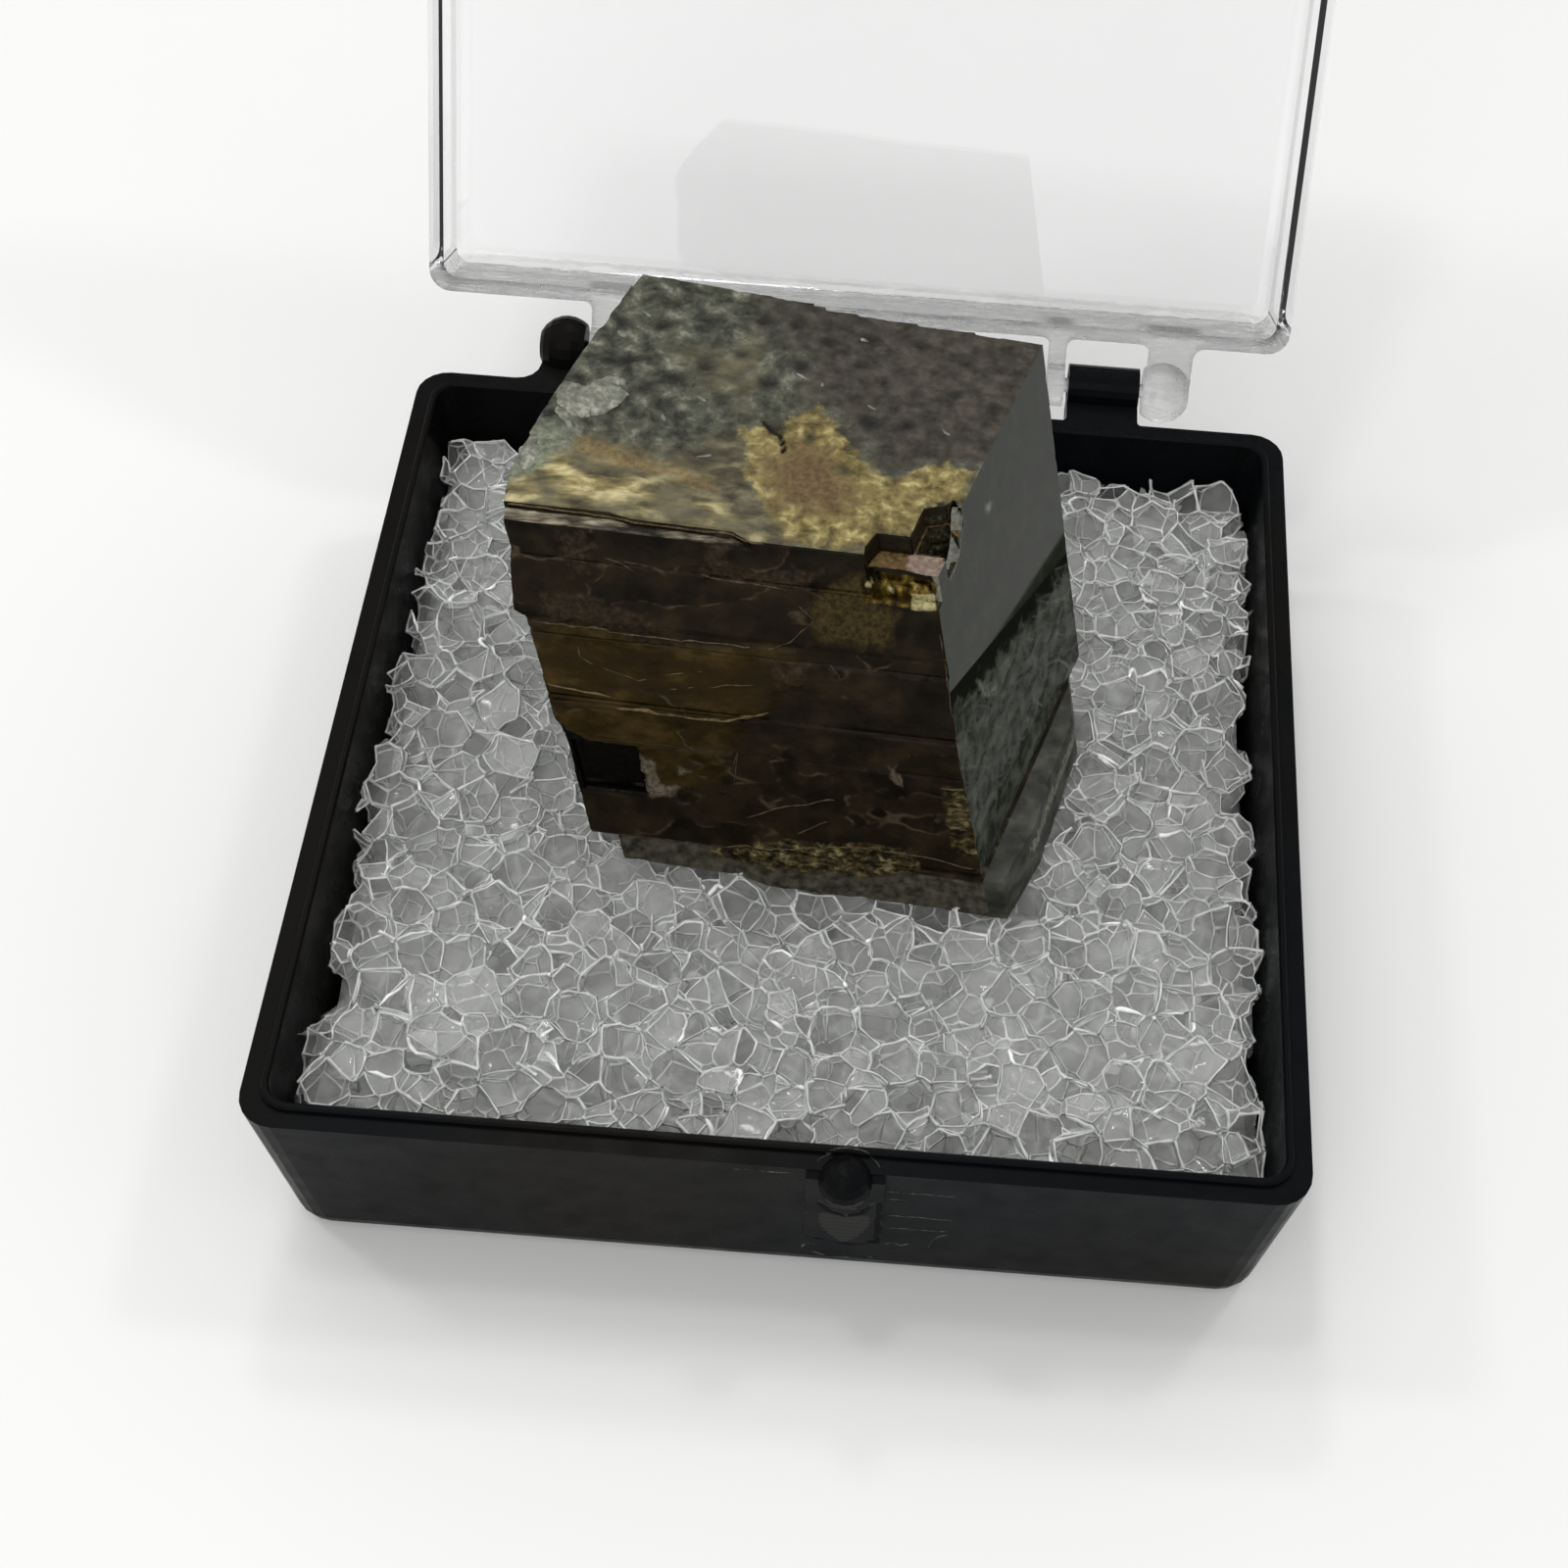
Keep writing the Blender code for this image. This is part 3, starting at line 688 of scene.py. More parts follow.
BROWN_BLOTCHES = [
    [(2.9, 1.0), (4.6, 0.4), (4.1, 2.9), (3.0, 3.3)],
    [(11.0, 0.2), (12.3, -0.2), (11.9, 1.9), (16.9, 1.3), (16.5, 2.2), (14.5, 2.6), (12.0, 2.5),
     (10.3, 2.7)],
    [(1.0, 4.6), (3.4, 4.4), (6.4, 5.4), (7.8, 6.3), (4.0, 6.5), (1.0, 6.4)],
    [(13.4, 7.4), (15.2, 7.4), (14.8, 8.4), (13.2, 9.0)],
]
PALE_PATCHES = [
    [(4.4, 14.8), (5.1, 15.1), (5.2, 16.7), (6.3, 16.6), (5.7, 17.5), (4.3, 17.9)],
    [(6.3, 15.0), (7.3, 15.5), (6.3, 15.9)],
    [(18.7, 13.3), (19.3, 14.2), (19.1, 14.9), (18.6, 14.3)],
]
OLIVE_ZONE = [
    (15.9, 3.6), (16.7, 2.4), (19.1, 1.3), (19.4, 2.9), (20.8, 3.3), (19.8, 5.6), (16.2, 5.6),
]
AMBER_BLOCK = [(18.9, 1.5), (22.9, 1.4), (22.9, 2.9), (18.9, 2.85)]
# Two pale yellow spots painted as glints in the amber block, and a pale ledge.
GLINTS_AND_LEDGE = [
    [(19.15, 1.65), (19.5, 1.65), (19.45, 2.05), (19.15, 2.0)],
    [(20.2, 2.1), (20.5, 2.1), (20.5, 2.45), (20.2, 2.4)],
    [(21.5, 2.3), (22.75, 2.1), (22.75, 2.95), (21.5, 2.95)],
]
CHALKY = [(22.55, 0.2), (23.5, -0.1), (23.3, 2.6), (22.7, 2.7), (23.0, 1.6)]
# Places seen along SHEAR, as (x, y) in the top plane.
STAIR = [(4.7, -0.9), (5.3, 1.3), (6.4, 1.7), (7.5, 1.7), (7.5, -1.4), (6.2, -1.0)]
ROSY_SHELF = [(4.45, -0.8), (4.35, -2.6), (7.5, -2.6), (7.5, -1.0), (6.0, -0.9)]
# Places on the right face, (along the top edge from the front, down along SHEAR).
FOLD_FRONT, FOLD_BACK = 7.09, 14.81
ABOVE_FOLD = [(-3.0, -3.0), (22.0, -3.0), (22.0, FOLD_BACK), (-3.0, FOLD_FRONT)]
MIRROR_NICKS = [
    [(7.2, 2.3), (8.3, 2.5), (8.5, 2.9), (7.6, 3.0)],
    [(3.0, 9.9), (4.3, 11.3), (5.8, 12.6), (5.4, 13.0), (3.6, 11.6)],
    [(10.5, 20.6), (11.1, 20.7), (11.0, 21.2), (10.5, 21.1)],
    [(9.0, 17.9), (9.35, 17.9), (9.3, 18.2), (9.0, 18.2)],
]
FOOT_RIDGE = [(16.5, 21.6), (12.4, 22.2), (8.0, 22.1), (3.8, 22.1)]
GOLD_STRIP = [(21.4, 14.5), (22.8, 14.5), (23.2, 19.4), (21.4, 19.4)]
CRUMBS = [
    (6.7, 21.6), (10.5, 20.2), (16.6, 19.5), (19.4, 19.7), (19.0, 20.7), (16.9, 21.7),
    (11.5, 21.9), (7.7, 22.2),
]
# Outlines of each mark on the top and on the front; FRONT_ONLY marks stay off the far sides.
TOP_MARKS = {
    "gold": [GOLD_PATCH], "red": [RED_CENTRE], "band": [YELLOW_BAND], "ochre": [OCHRE_SHADE],
    "dullzone": [DULL_ZONE], "purple": [PURPLE_PART], "streaks": [YELLOWISH_STREAKS],
    "green": [GREEN_CORNER],
}
FRONT_MARKS = {
    "zone": [GOLDEN_ZONE], "bright": [BRIGHT_ZONE], "lowdark": [LOWER_DARK],
    "brown": BROWN_BLOTCHES, "pale": PALE_PATCHES, "olive": [OLIVE_ZONE],
    "amber": [AMBER_BLOCK], "glints_and_ledge": GLINTS_AND_LEDGE, "chalk": [CHALKY], "strip": [GOLD_STRIP],
    "crumbs": [CRUMBS],
}
FRONT_ONLY = ("zone", "bright", "lowdark", "brown", "pale", "olive", "strip", "crumbs")
# Thin ridges along the edges of cleavage sheets on the front, painted paler as a highlight: points,
# width and share of gold.
SHEET_EDGES = [
    ([(0.1, 10.55), (1.8, 10.7), (3.6, 10.9)], 0.22, 1.0),
    ([(3.8, 11.5), (6.4, 11.62), (9.7, 11.6), (12.4, 10.8)], 0.24, 0.8),
    ([(0.2, 6.7), (3.5, 6.5), (5.0, 6.75), (6.6, 6.8), (12.1, 6.6)], 0.16, 0.35),
    ([(10.2, 2.5), (12.4, 2.6), (14.5, 2.6)], 0.12, 0.2),
    ([(5.1, 2.1), (6.6, 2.6)], 0.12, 0.2),
    ([(0.2, -0.12), (5.8, 0.02), (11.9, 0.05), (14.0, 0.1)], 0.2, 0.6),
    ([(15.1, 16.4), (13.3, 17.0), (11.5, 17.6), (9.7, 18.5)], 0.14, 0.15),
    ([(12.5, 19.3), (14.4, 18.1)], 0.1, 0.15),
    ([(16.4, 7.2), (16.8, 7.6), (16.8, 8.2)], 0.14, 0.1),
    ([(2.5, 7.7), (2.4, 8.4), (3.1, 8.8)], 0.14, 0.4),
    ([(3.4, 8.9), (5.4, 9.6), (6.8, 9.0), (9.4, 8.4)], 0.08, 0.6),
    ([(7.0, 9.9), (9.9, 9.3), (12.2, 8.8)], 0.07, 0.6),
    ([(15.3, 3.6), (16.0, 4.4), (14.4, 6.0), (13.1, 6.6)], 0.1, 0.3),
    ([(22.72, 4.2), (22.74, 9.0), (22.8, 14.0), (22.85, 20.6)], 0.07, 0.3),
    ([(21.4, 14.6), (22.7, 14.5)], 0.12, 0.8),
    ([(8.0, 20.9), (12.0, 20.4), (16.0, 19.7), (19.5, 19.9), (22.4, 20.3)], 0.12, 0.5),
    ([(9.6, 14.9), (10.2, 13.6), (9.4, 16.2), (8.6, 16.9)], 0.09, 0.2),
    ([(18.6, 14.0), (19.0, 14.9)], 0.22, 0.05),
]

# ---- siderite block: shape -----------------------------------------------------------


def unit(vector):
    """The vector with length 1."""
    return vector / np.linalg.norm(vector)


FRONT_ALONG = unit(FRONT_RIGHT - FRONT_LEFT)
FRONT_OUT = unit(np.cross(FRONT_ALONG, -SHEAR))
RIGHT_ALONG = unit(BACK_RIGHT - FRONT_RIGHT)
RIGHT_OUT = unit(np.cross(RIGHT_ALONG, -SHEAR))


def face_place(points, corner, along, out):
    """Coordinates of points along a side face, down it and outwards from it."""
    axes = np.stack([along, SHEAR, out], axis=1)
    return np.linalg.solve(axes, (points - corner).T).T


def inside_by(points, outline):
    """Distance of 2-D points inside an outline; negative where they lie outside."""
    corners = np.array(outline, float)
    after = np.roll(corners, -1, axis=0)
    nearest = np.full(len(points), 1e9)
    inside = np.zeros(len(points), bool)
    for a, b in zip(corners, after):
        side = b - a
        share = np.clip(((points - a) @ side) / (side @ side), 0.0, 1.0)
        gap = np.linalg.norm(points - a - share[:, None] * side, axis=1)
        nearest = np.minimum(nearest, gap)
        crosses = (a[1] > points[:, 1]) != (b[1] > points[:, 1])
        with np.errstate(divide="ignore", invalid="ignore"):
            reach = a[0] + (points[:, 1] - a[1]) * side[0] / (side[1] or 1e-12)
        inside ^= crosses & (points[:, 0] < reach)
    return np.where(inside, nearest, -nearest)


def near_line(points, line):
    """Distance of 2-D points from a line of several pieces."""
    nearest = np.full(len(points), 1e9)
    for a, b in zip(np.array(line[:-1], float), np.array(line[1:], float)):
        side = b - a
        share = np.clip(((points - a) @ side) / (side @ side), 0.0, 1.0)
        nearest = np.minimum(nearest, np.linalg.norm(points - a - share[:, None] * side, axis=1))
    return nearest


def fractal(points, scale, octaves=4, shift=0.0):
    """Fractal noise, about -1 to 1, at an array of points; scale is one or three numbers."""
    grown = points * np.array(scale) + shift
    return np.array([noise.fractal(Vector(p), 0.9, 2.0, octaves) for p in grown])


def rise(value, width):
    """0 below zero, 1 above width, smooth between."""
    t = np.clip(value / width, 0.0, 1.0)
    return t * t * (3.0 - 2.0 * t)


def diced_block():
    """The solid cut by three families of cleavage planes into a fine grid."""
    bm = mesh_in_mm(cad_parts["siderite_crystal"].data)
    bmesh.ops.remove_doubles(bm, verts=bm.verts, dist=1e-4)
    bmesh.ops.dissolve_limit(bm, angle_limit=math.radians(0.3), verts=bm.verts, edges=bm.edges)
    for normal in (np.array([0.0, 0.0, 1.0]), FRONT_OUT, RIGHT_OUT):
        reach = np.array([v.co for v in bm.verts]) @ normal
        low, high = reach.min(), reach.max()
        steps = int((high - low) / DICE)
        for step in range(1, steps):
            offset = low + (high - low) * (step + 0.37) / steps
            bmesh.ops.bisect_plane(
                bm, geom=bm.verts[:] + bm.edges[:] + bm.faces[:], dist=1e-5,
                plane_co=normal * offset, plane_no=normal)
    bmesh.ops.triangulate(bm, faces=[f for f in bm.faces if len(f.verts) > 4])
    bm.normal_update()
    for edge in bm.edges:
        edge.smooth = edge.calc_face_angle(0.0) < math.radians(25.0)
    return bm


def inside_any(points, outlines):
    """Distance inside the nearest of several outlines."""
    return np.max([inside_by(points, outline) for outline in outlines], axis=0)


def block_marks(points):
    """Distances inside each marked place of the block, in millimetres, by name."""
    top = points[:, :2]
    place = face_place(points, FRONT_LEFT, FRONT_ALONG, FRONT_OUT)
    front = place[:, :2]
    right = face_place(points, FRONT_RIGHT, RIGHT_ALONG, RIGHT_OUT)[:, :2]
    drop = (TOP_Z - points[:, 2]) / -SHEAR[2]
    sheared = (points - SHEAR * drop[:, None])[:, :2]
    spots = np.full(len(points), -9.0)
    for x, y, radius in DARK_SPOTS:
        spots = np.maximum(spots, radius - np.hypot(top[:, 0] - x, (top[:, 1] - y) * 1.15))
    marks = {name: inside_any(top, shapes) for name, shapes in TOP_MARKS.items()}
    marks |= {name: inside_any(front, shapes) for name, shapes in FRONT_MARKS.items()}
    fold = inside_by(right, ABOVE_FOLD)
    marks |= {
        "spots": spots,
        "crack": 0.16 - near_line(top, TOP_CRACK),
        "stair": np.minimum(inside_by(sheared, STAIR), drop - 0.5),
        "rosy": inside_by(sheared, ROSY_SHELF),
        "shelf": drop - 0.75,
        "lip": drop - 0.26,
        "fold": fold,
        # Reach of the painted shade band, 1.2 mm below the fold.
        "fold_shade_band": fold + 1.2,
        "nicks": inside_any(right, MIRROR_NICKS),
        "ridge": 0.30 - near_line(right, FOOT_RIDGE),
        "foot": front[:, 1] - LEDGE_DEPTH,
        "depth": front[:, 1],
    }
    for name in FRONT_ONLY:
        marks[name] = np.minimum(marks[name], 2.5 + place[:, 2])
    return {name: np.clip(value, -6.0, 24.0) for name, value in marks.items()}


def block_relief(points, marks):
    """How far the surface stands out on the top, the sides and everywhere, in millimetres."""
    grain = fractal(points, 1.7, 3)
    swell = fractal(points, 0.3, 3, 5.0)
    crust = rise(marks["gold"] + 0.35 * grain, 0.35)
    scales = rise(marks["band"] + 0.5 * grain, 0.5)
    top = 0.05 * swell + 0.028 * grain
    top += crust * (0.07 + 0.06 * fractal(points, 2.6, 3, 9.0))
    top += scales * (0.10 + 0.09 * fractal(points, (0.7, 1.5, 1.0), 3, 3.0))
    top -= 0.13 * rise(marks["spots"], 0.5)
    top -= 0.30 * rise(marks["crack"], 0.14)
    layers = 3.2 * fractal(points, (0.15, 0.15, 0.20), 4, 1.5)
    terrace = np.floor(layers) + rise(layers - np.floor(layers) - 0.82, 0.18)
    side = 0.020 * terrace + 0.02 * grain
    side += 0.13 * rise(marks["zone"] + 0.3 * grain, 0.2)
    side -= 0.10 * rise(marks["lowdark"], 0.2)
    side += 0.10 * rise(marks["brown"] + 0.35 * grain, 0.15)
    side += 0.12 * rise(marks["pale"] + 0.1 * grain, 0.12)
    side += rise(marks["crumbs"] + 0.3 * grain, 0.3) * (0.08 + 0.30 * fractal(points, 1.9, 3, 7.0))
    side += rise(marks["strip"] + 0.2 * grain, 0.3) * 0.16 * fractal(points, 2.2, 3, 2.0)
    side += 0.05 * rise(marks["foot"], 0.3) * fractal(points, 1.1, 3, 4.0)
    return top, side


def depth_of(face):
    """Depth of a face below the top plane, along SHEAR."""
    return (TOP_Z - face.calc_center_median().z) / -SHEAR[2]


def beyond_mirror(face):
    """How far a face stands out from the plane of the right face."""
    return (face.calc_center_median() - Vector(FRONT_RIGHT)).dot(Vector(RIGHT_OUT))


def sort_faces(bm):
    """Give each face its material; return which vertices touch the mirror and the foot."""
    mirror = np.zeros(len(bm.verts), bool)
    foot = np.zeros(len(bm.verts), bool)
    for face in bm.faces:
        out = np.array(face.normal)
        corners = [vert.index for vert in face.verts]
        if out[2] > 0.8 and face.calc_center_median().z > TOP_Z - SHELF_DEPTH:
            face.material_index = TOP_FINISH
        elif beyond_mirror(face) > MIRROR_STEP and depth_of(face) > FLANK_DEPTH:
            face.material_index = FLANK_FINISH
        elif out @ RIGHT_OUT > 0.995 and beyond_mirror(face) > -0.5:
            face.material_index = MIRROR_FINISH
            mirror[corners] = True
        else:
            face.material_index = SIDE_FINISH
        if out[2] < -0.9:
            foot[corners] = True
    return mirror, foot


def build_block():
    """The block's mesh with relief, marks and one material index for each kind of face."""
    bm = diced_block()
    bm.verts.ensure_lookup_table()
    points = np.array([v.co for v in bm.verts])
    normals = np.array([v.normal for v in bm.verts])
    marks = block_marks(points)
    top, side = block_relief(points, marks)
    touches_mirror, touches_foot = sort_faces(bm)
    height = np.where(normals[:, 2] > 0.9, top, side)
    corner = np.zeros(len(points), bool)
    for edge in bm.edges:
        if not edge.smooth:
            corner[[vert.index for vert in edge.verts]] = True
    chips = 0.04 + 0.16 * np.clip(fractal(points, 0.9, 3, 11.0), 0.0, 1.0)
    height = np.where(corner, -chips, height)
    move = normals * height[:, None]
    across = move @ RIGHT_OUT
    move -= np.where(touches_mirror, across, 0.0)[:, None] * RIGHT_OUT
    move[touches_foot, 2] = np.maximum(move[touches_foot, 2], 0.0)
    for vert, point in zip(bm.verts, points + move):
        vert.co = point * MM
    mesh = bpy.data.meshes.new("siderite")
    bm.to_mesh(mesh)
    bm.free()
    for name, values in marks.items():
        layer = mesh.attributes.new(name, "FLOAT", "POINT")
        layer.data.foreach_set("value", values.astype(np.float32))
    return mesh


# ---- siderite block: finish ----------------------------------------------------------

def patch(g, mark, jitter, soft, amount, strength=1.0):
    """Share of a marked place, with an edge frayed by noise."""
    frayed = g.math("MULTIPLY", g.math("SUBTRACT", jitter, 0.5), 2.0 * amount)
    moved = g.math("ADD", g.attribute(mark), frayed)
    share = g.math("MULTIPLY", g.math("ADD", moved, soft), 0.5 / soft, clamp=True)
    return share if strength == 1.0 else g.math("MULTIPLY", share, strength)


def paint(g, tone, layers):
    """Lay colours over a tone in their marked places.

    A layer is (mark, noise that frays its edge, softness, fray, strength, colour).
    """
    for mark, jitter, soft, amount, strength, colour in layers:
        tone = g.mix(patch(g, mark, jitter, soft, amount, strength), tone, colour)
    return tone


def top_ground(g, where, fine, fray, broad):
    """Grey-green left part, purple-brown right part and the duller places between."""
    along = g.stretched(where, (0.7, 1.5, 1.0), (0.0, 0.0, 0.5))
    streaky = g.noise(along, 0.8, detail=7.0, distortion=0.4)
    cloud = g.noise(where, 0.8, detail=7.0, roughness=0.66, distortion=0.2)
    left = g.shades(
        cloud, (0.34, 0.010, 0.0105, 0.007), (0.45, 0.036, 0.037, 0.026),
        (0.56, 0.082, 0.083, 0.061), (0.68, 0.215, 0.215, 0.165))
    purple = g.shades(
        g.noise(where, 1.3, detail=6.0), (0.32, 0.018, 0.0160, 0.0125),
        (0.50, 0.039, 0.0345, 0.0265), (0.70, 0.072, 0.0610, 0.0480))
    yellowish = g.ramp(streaky, (0.40, 0.0), (0.62, 0.8))
    yellowish = g.mix(yellowish, (0.06, 0.055, 0.034), (0.17, 0.150, 0.085))
    dull = g.shades(
        streaky, (0.33, 0.028, 0.025, 0.016), (0.50, 0.072, 0.063, 0.038),
        (0.68, 0.165, 0.148, 0.090))
    green = g.shades(fine, (0.35, 0.075, 0.085, 0.058), (0.65, 0.20, 0.215, 0.155))
    ochre = g.shades(fine, (0.35, 0.10, 0.068, 0.024), (0.65, 0.24, 0.175, 0.075))
    return paint(g, left, (
        ("purple", broad, 1.4, 2.5, 1.0, purple),
        ("streaks", fray, 0.8, 1.2, 0.65, yellowish),
        ("dullzone", fray, 0.7, 1.5, 1.0, dull),
        ("green", fray, 0.5, 0.9, 1.0, green),
        ("ochre", fray, 0.5, 1.2, 0.75, ochre),
    ))


def top_crusts(g, where, fine, fray, broad, tone):
    """The yellow band and the gold patch with its red centre, the dark spots and the crack."""
    band = g.noise(g.stretched(where, (0.6, 1.5, 1.0)), 0.8, detail=7.0, distortion=0.3)
    band = g.shades(
        band, (0.32, 0.030, 0.026, 0.015), (0.42, 0.094, 0.075, 0.032), (0.52, 0.235, 0.190, 0.080),
        (0.64, 0.49, 0.43, 0.23))
    worn = g.ramp(g.noise(where, 0.45, detail=6.0), (0.42, 0.0), (0.60, 0.75))
    band = g.mix(worn, band, (0.10, 0.092, 0.062))
    gold = g.noise(where, 1.25, detail=7.0, roughness=0.6, distortion=0.3)
    gold = g.shades(
        gold, (0.30, 0.047, 0.034, 0.011), (0.43, 0.120, 0.093, 0.033), (0.55, 0.212, 0.171, 0.065),
        (0.68, 0.41, 0.35, 0.160))
    red = g.shades(fine, (0.35, 0.070, 0.043, 0.019), (0.70, 0.155, 0.108, 0.050))
    crust = g.mix(patch(g, "red", broad, soft=0.9, amount=1.4), gold, red)
    rim = g.noise(where, 1.5, detail=7.0)
    return paint(g, tone, (
        ("band", fray, 0.45, 1.3, 1.0, band),
        ("gold", rim, 0.28, 1.1, 1.0, crust),
        ("spots", fine, 0.35, 0.3, 0.85, (0.0075, 0.0070, 0.0055)),
        ("crack", fine, 0.06, 0.1, 1.0, (0.012, 0.009, 0.006)),
    ))


def top_breaks(g, where, fine, tone):
    """The lip, the shelf and the broken corner, where the inside of the sheets shows."""
    rust = g.shades(fine, (0.35, 0.028, 0.016, 0.005), (0.65, 0.130, 0.080, 0.028))
    rosy = g.shades(fine, (0.35, 0.120, 0.082, 0.062), (0.65, 0.250, 0.190, 0.150))
    seam = g.noise(g.stretched(where, (0.3, 1.2, 1.2)), 1.2, detail=6.0)
    seam = g.shades(
        seam, (0.45, 0.012, 0.009, 0.006), (0.52, 0.080, 0.066, 0.046), (0.64, 0.30, 0.265, 0.19))
    shelf = g.mix(patch(g, "rosy", fine, soft=0.1, amount=0.2), rust, rosy)
    return paint(g, tone, (
        ("lip", fine, 0.03, 0.0, 1.0, seam),
        ("shelf", fine, 0.05, 0.0, 1.0, shelf),
    ))


def siderite_top():
    """Matt, silky top: grey-green and purple-brown with gold and yellow crusts."""
    g = Graph("siderite_top")
    where = g.place()
    fray = g.noise(where, 0.9, detail=6.0)
    fine = g.noise(where, 3.2, detail=5.0, roughness=0.65)
    broad = g.noise(where, 0.33, detail=5.0)
    tone = top_ground(g, where, fine, fray, broad)
    tone = top_crusts(g, where, fine, fray, broad, tone)
    tone = top_breaks(g, where, fine, tone)
    g.set(Base_Color=tone, Specular_IOR_Level=0.12)
    g.set(Roughness=g.ramp(fine, (0.3, 0.42), (0.7, 0.62)))
    lump = g.bump(fine, 0.35, 0.12)
    g.set(Normal=g.bump(g.noise(where, 9.0, detail=3.0), 0.2, 0.05, lump))
    return g.material


def side_ground(g, where, fray):
    """Dark brown faces with the golden zone and its brighter middle."""
    tone = g.shades(
        g.noise(where, 0.45, detail=6.0), (0.32, 0.0030, 0.0022, 0.0012),
        (0.52, 0.0098, 0.0070, 0.0036), (0.75, 0.0260, 0.0175, 0.0085))
    blotch = g.stretched(where, (0.35, 0.35, 0.62), (0.12, 0.0, 0.0))
    blotch = g.noise(blotch, 0.9, detail=8.0, roughness=0.6)
    golden = g.shades(
        blotch, (0.32, 0.0060, 0.0035, 0.0008), (0.50, 0.0185, 0.0110, 0.0024),
        (0.68, 0.0500, 0.0320, 0.0080))
    bright = g.shades(
        blotch, (0.32, 0.0130, 0.0080, 0.0022), (0.52, 0.0270, 0.0160, 0.0042),
        (0.70, 0.0700, 0.0450, 0.0130))
    return paint(g, tone, (
        ("zone", fray, 0.25, 0.5, 1.0, golden),
        ("bright", fray, 0.5, 0.8, 0.8, bright),
    ))


def side_sheets(g, where, fray, tone):
    """Paler torn sheets over the ground, each with a thin pale line painted along its edge as a
    highlight.
    """
    sheets = g.noise(g.stretched(where, (0.5, 0.5, 0.9)), 0.26, detail=3.0, roughness=0.45)
    film = g.ramp(sheets, (0.492, 0.0), (0.504, 0.6), (0.62, 0.1))
    tone = g.mix(g.math("MULTIPLY", film, fray), tone, (0.026, 0.017, 0.0085))
    # A thin pale line painted as a highlight along each sheet's edge.
    rim = g.ramp(sheets, (0.485, 0.0), (0.492, 1.0), (0.498, 1.0), (0.505, 0.0))
    broken = g.ramp(g.noise(where, 0.7, detail=6.0), (0.47, 0.0), (0.60, 0.8))
    rim = g.math("MULTIPLY", rim, broken)
    tone = g.mix(rim, tone, (0.062, 0.045, 0.027))
    return tone


def side_blotches(g, where, fine, fray, tone):
    """The dark cell, brown, olive and pale blotches, the grey foot and the gold crumbs."""
    brown = g.shades(
        fine, (0.35, 0.012, 0.008, 0.004), (0.62, 0.044, 0.029, 0.017), (0.8, 0.10, 0.074, 0.050))
    olive = g.shades(fine, (0.35, 0.016, 0.011, 0.004), (0.70, 0.066, 0.047, 0.015))
    pale = g.shades(fine, (0.35, 0.040, 0.030, 0.020), (0.70, 0.150, 0.125, 0.090))
    grit = g.noise(g.stretched(where, (0.8, 0.8, 1.6)), 1.7, detail=7.0, roughness=0.65)
    grit = g.shades(
        grit, (0.40, 0.006, 0.005, 0.003), (0.52, 0.040, 0.031, 0.012), (0.60, 0.120, 0.095, 0.042),
        (0.72, 0.30, 0.26, 0.16))
    foot = g.shades(
        g.noise(where, 1.8, detail=6.0), (0.35, 0.020, 0.0185, 0.0130), (0.70, 0.086, 0.079, 0.058))
    return paint(g, tone, (
        ("lowdark", fray, 0.15, 0.3, 1.0, (0.0022, 0.0018, 0.0012)),
        ("brown", fray, 0.25, 1.3, 0.65, brown),
        ("olive", fray, 0.3, 0.6, 1.0, olive),
        ("pale", fray, 0.1, 0.35, 1.0, pale),
        ("crumbs", fray, 0.2, 0.6, 1.0, grit),
        ("strip", fray, 0.1, 0.3, 0.8, grit),
        ("foot", fray, 0.08, 0.1, 1.0, foot),
        ("crumbs", fray, 0.2, 0.6, 1.0, grit),
    ))


def side_corner(g, where, fine, fray, tone):
    """The amber block with pale yellow spots painted as glints and a pale ledge, the chalky margin
    and the broken stair.
    """
    honey = g.noise(g.stretched(where, (1.6, 1.6, 0.7)), 0.9, detail=5.0)
    honey = g.shades(
        honey, (0.36, 0.010, 0.0060, 0.0015), (0.50, 0.040, 0.0240, 0.0040),
        (0.60, 0.150, 0.0980, 0.0180), (0.68, 0.480, 0.3600, 0.1000))
    # Pale yellow painted as glints; the same colour covers the pale ledge.
    glints_and_ledge = g.shades(fine, (0.35, 0.17, 0.145, 0.060), (0.65, 0.46, 0.41, 0.22))
    chalk = g.shades(fine, (0.35, 0.075, 0.072, 0.052), (0.65, 0.22, 0.21, 0.165))
    drab = g.shades(
        fine, (0.35, 0.006, 0.005, 0.003), (0.55, 0.024, 0.020, 0.010), (0.72, 0.10, 0.09, 0.06))
    return paint(g, tone, (
        ("amber", fray, 0.06, 0.15, 1.0, honey),
        ("glints_and_ledge", fray, 0.06, 0.2, 1.0, glints_and_ledge),
        ("chalk", fray, 0.06, 0.15, 1.0, chalk),
        ("stair", fray, 0.1, 0.1, 1.0, drab),
    ))


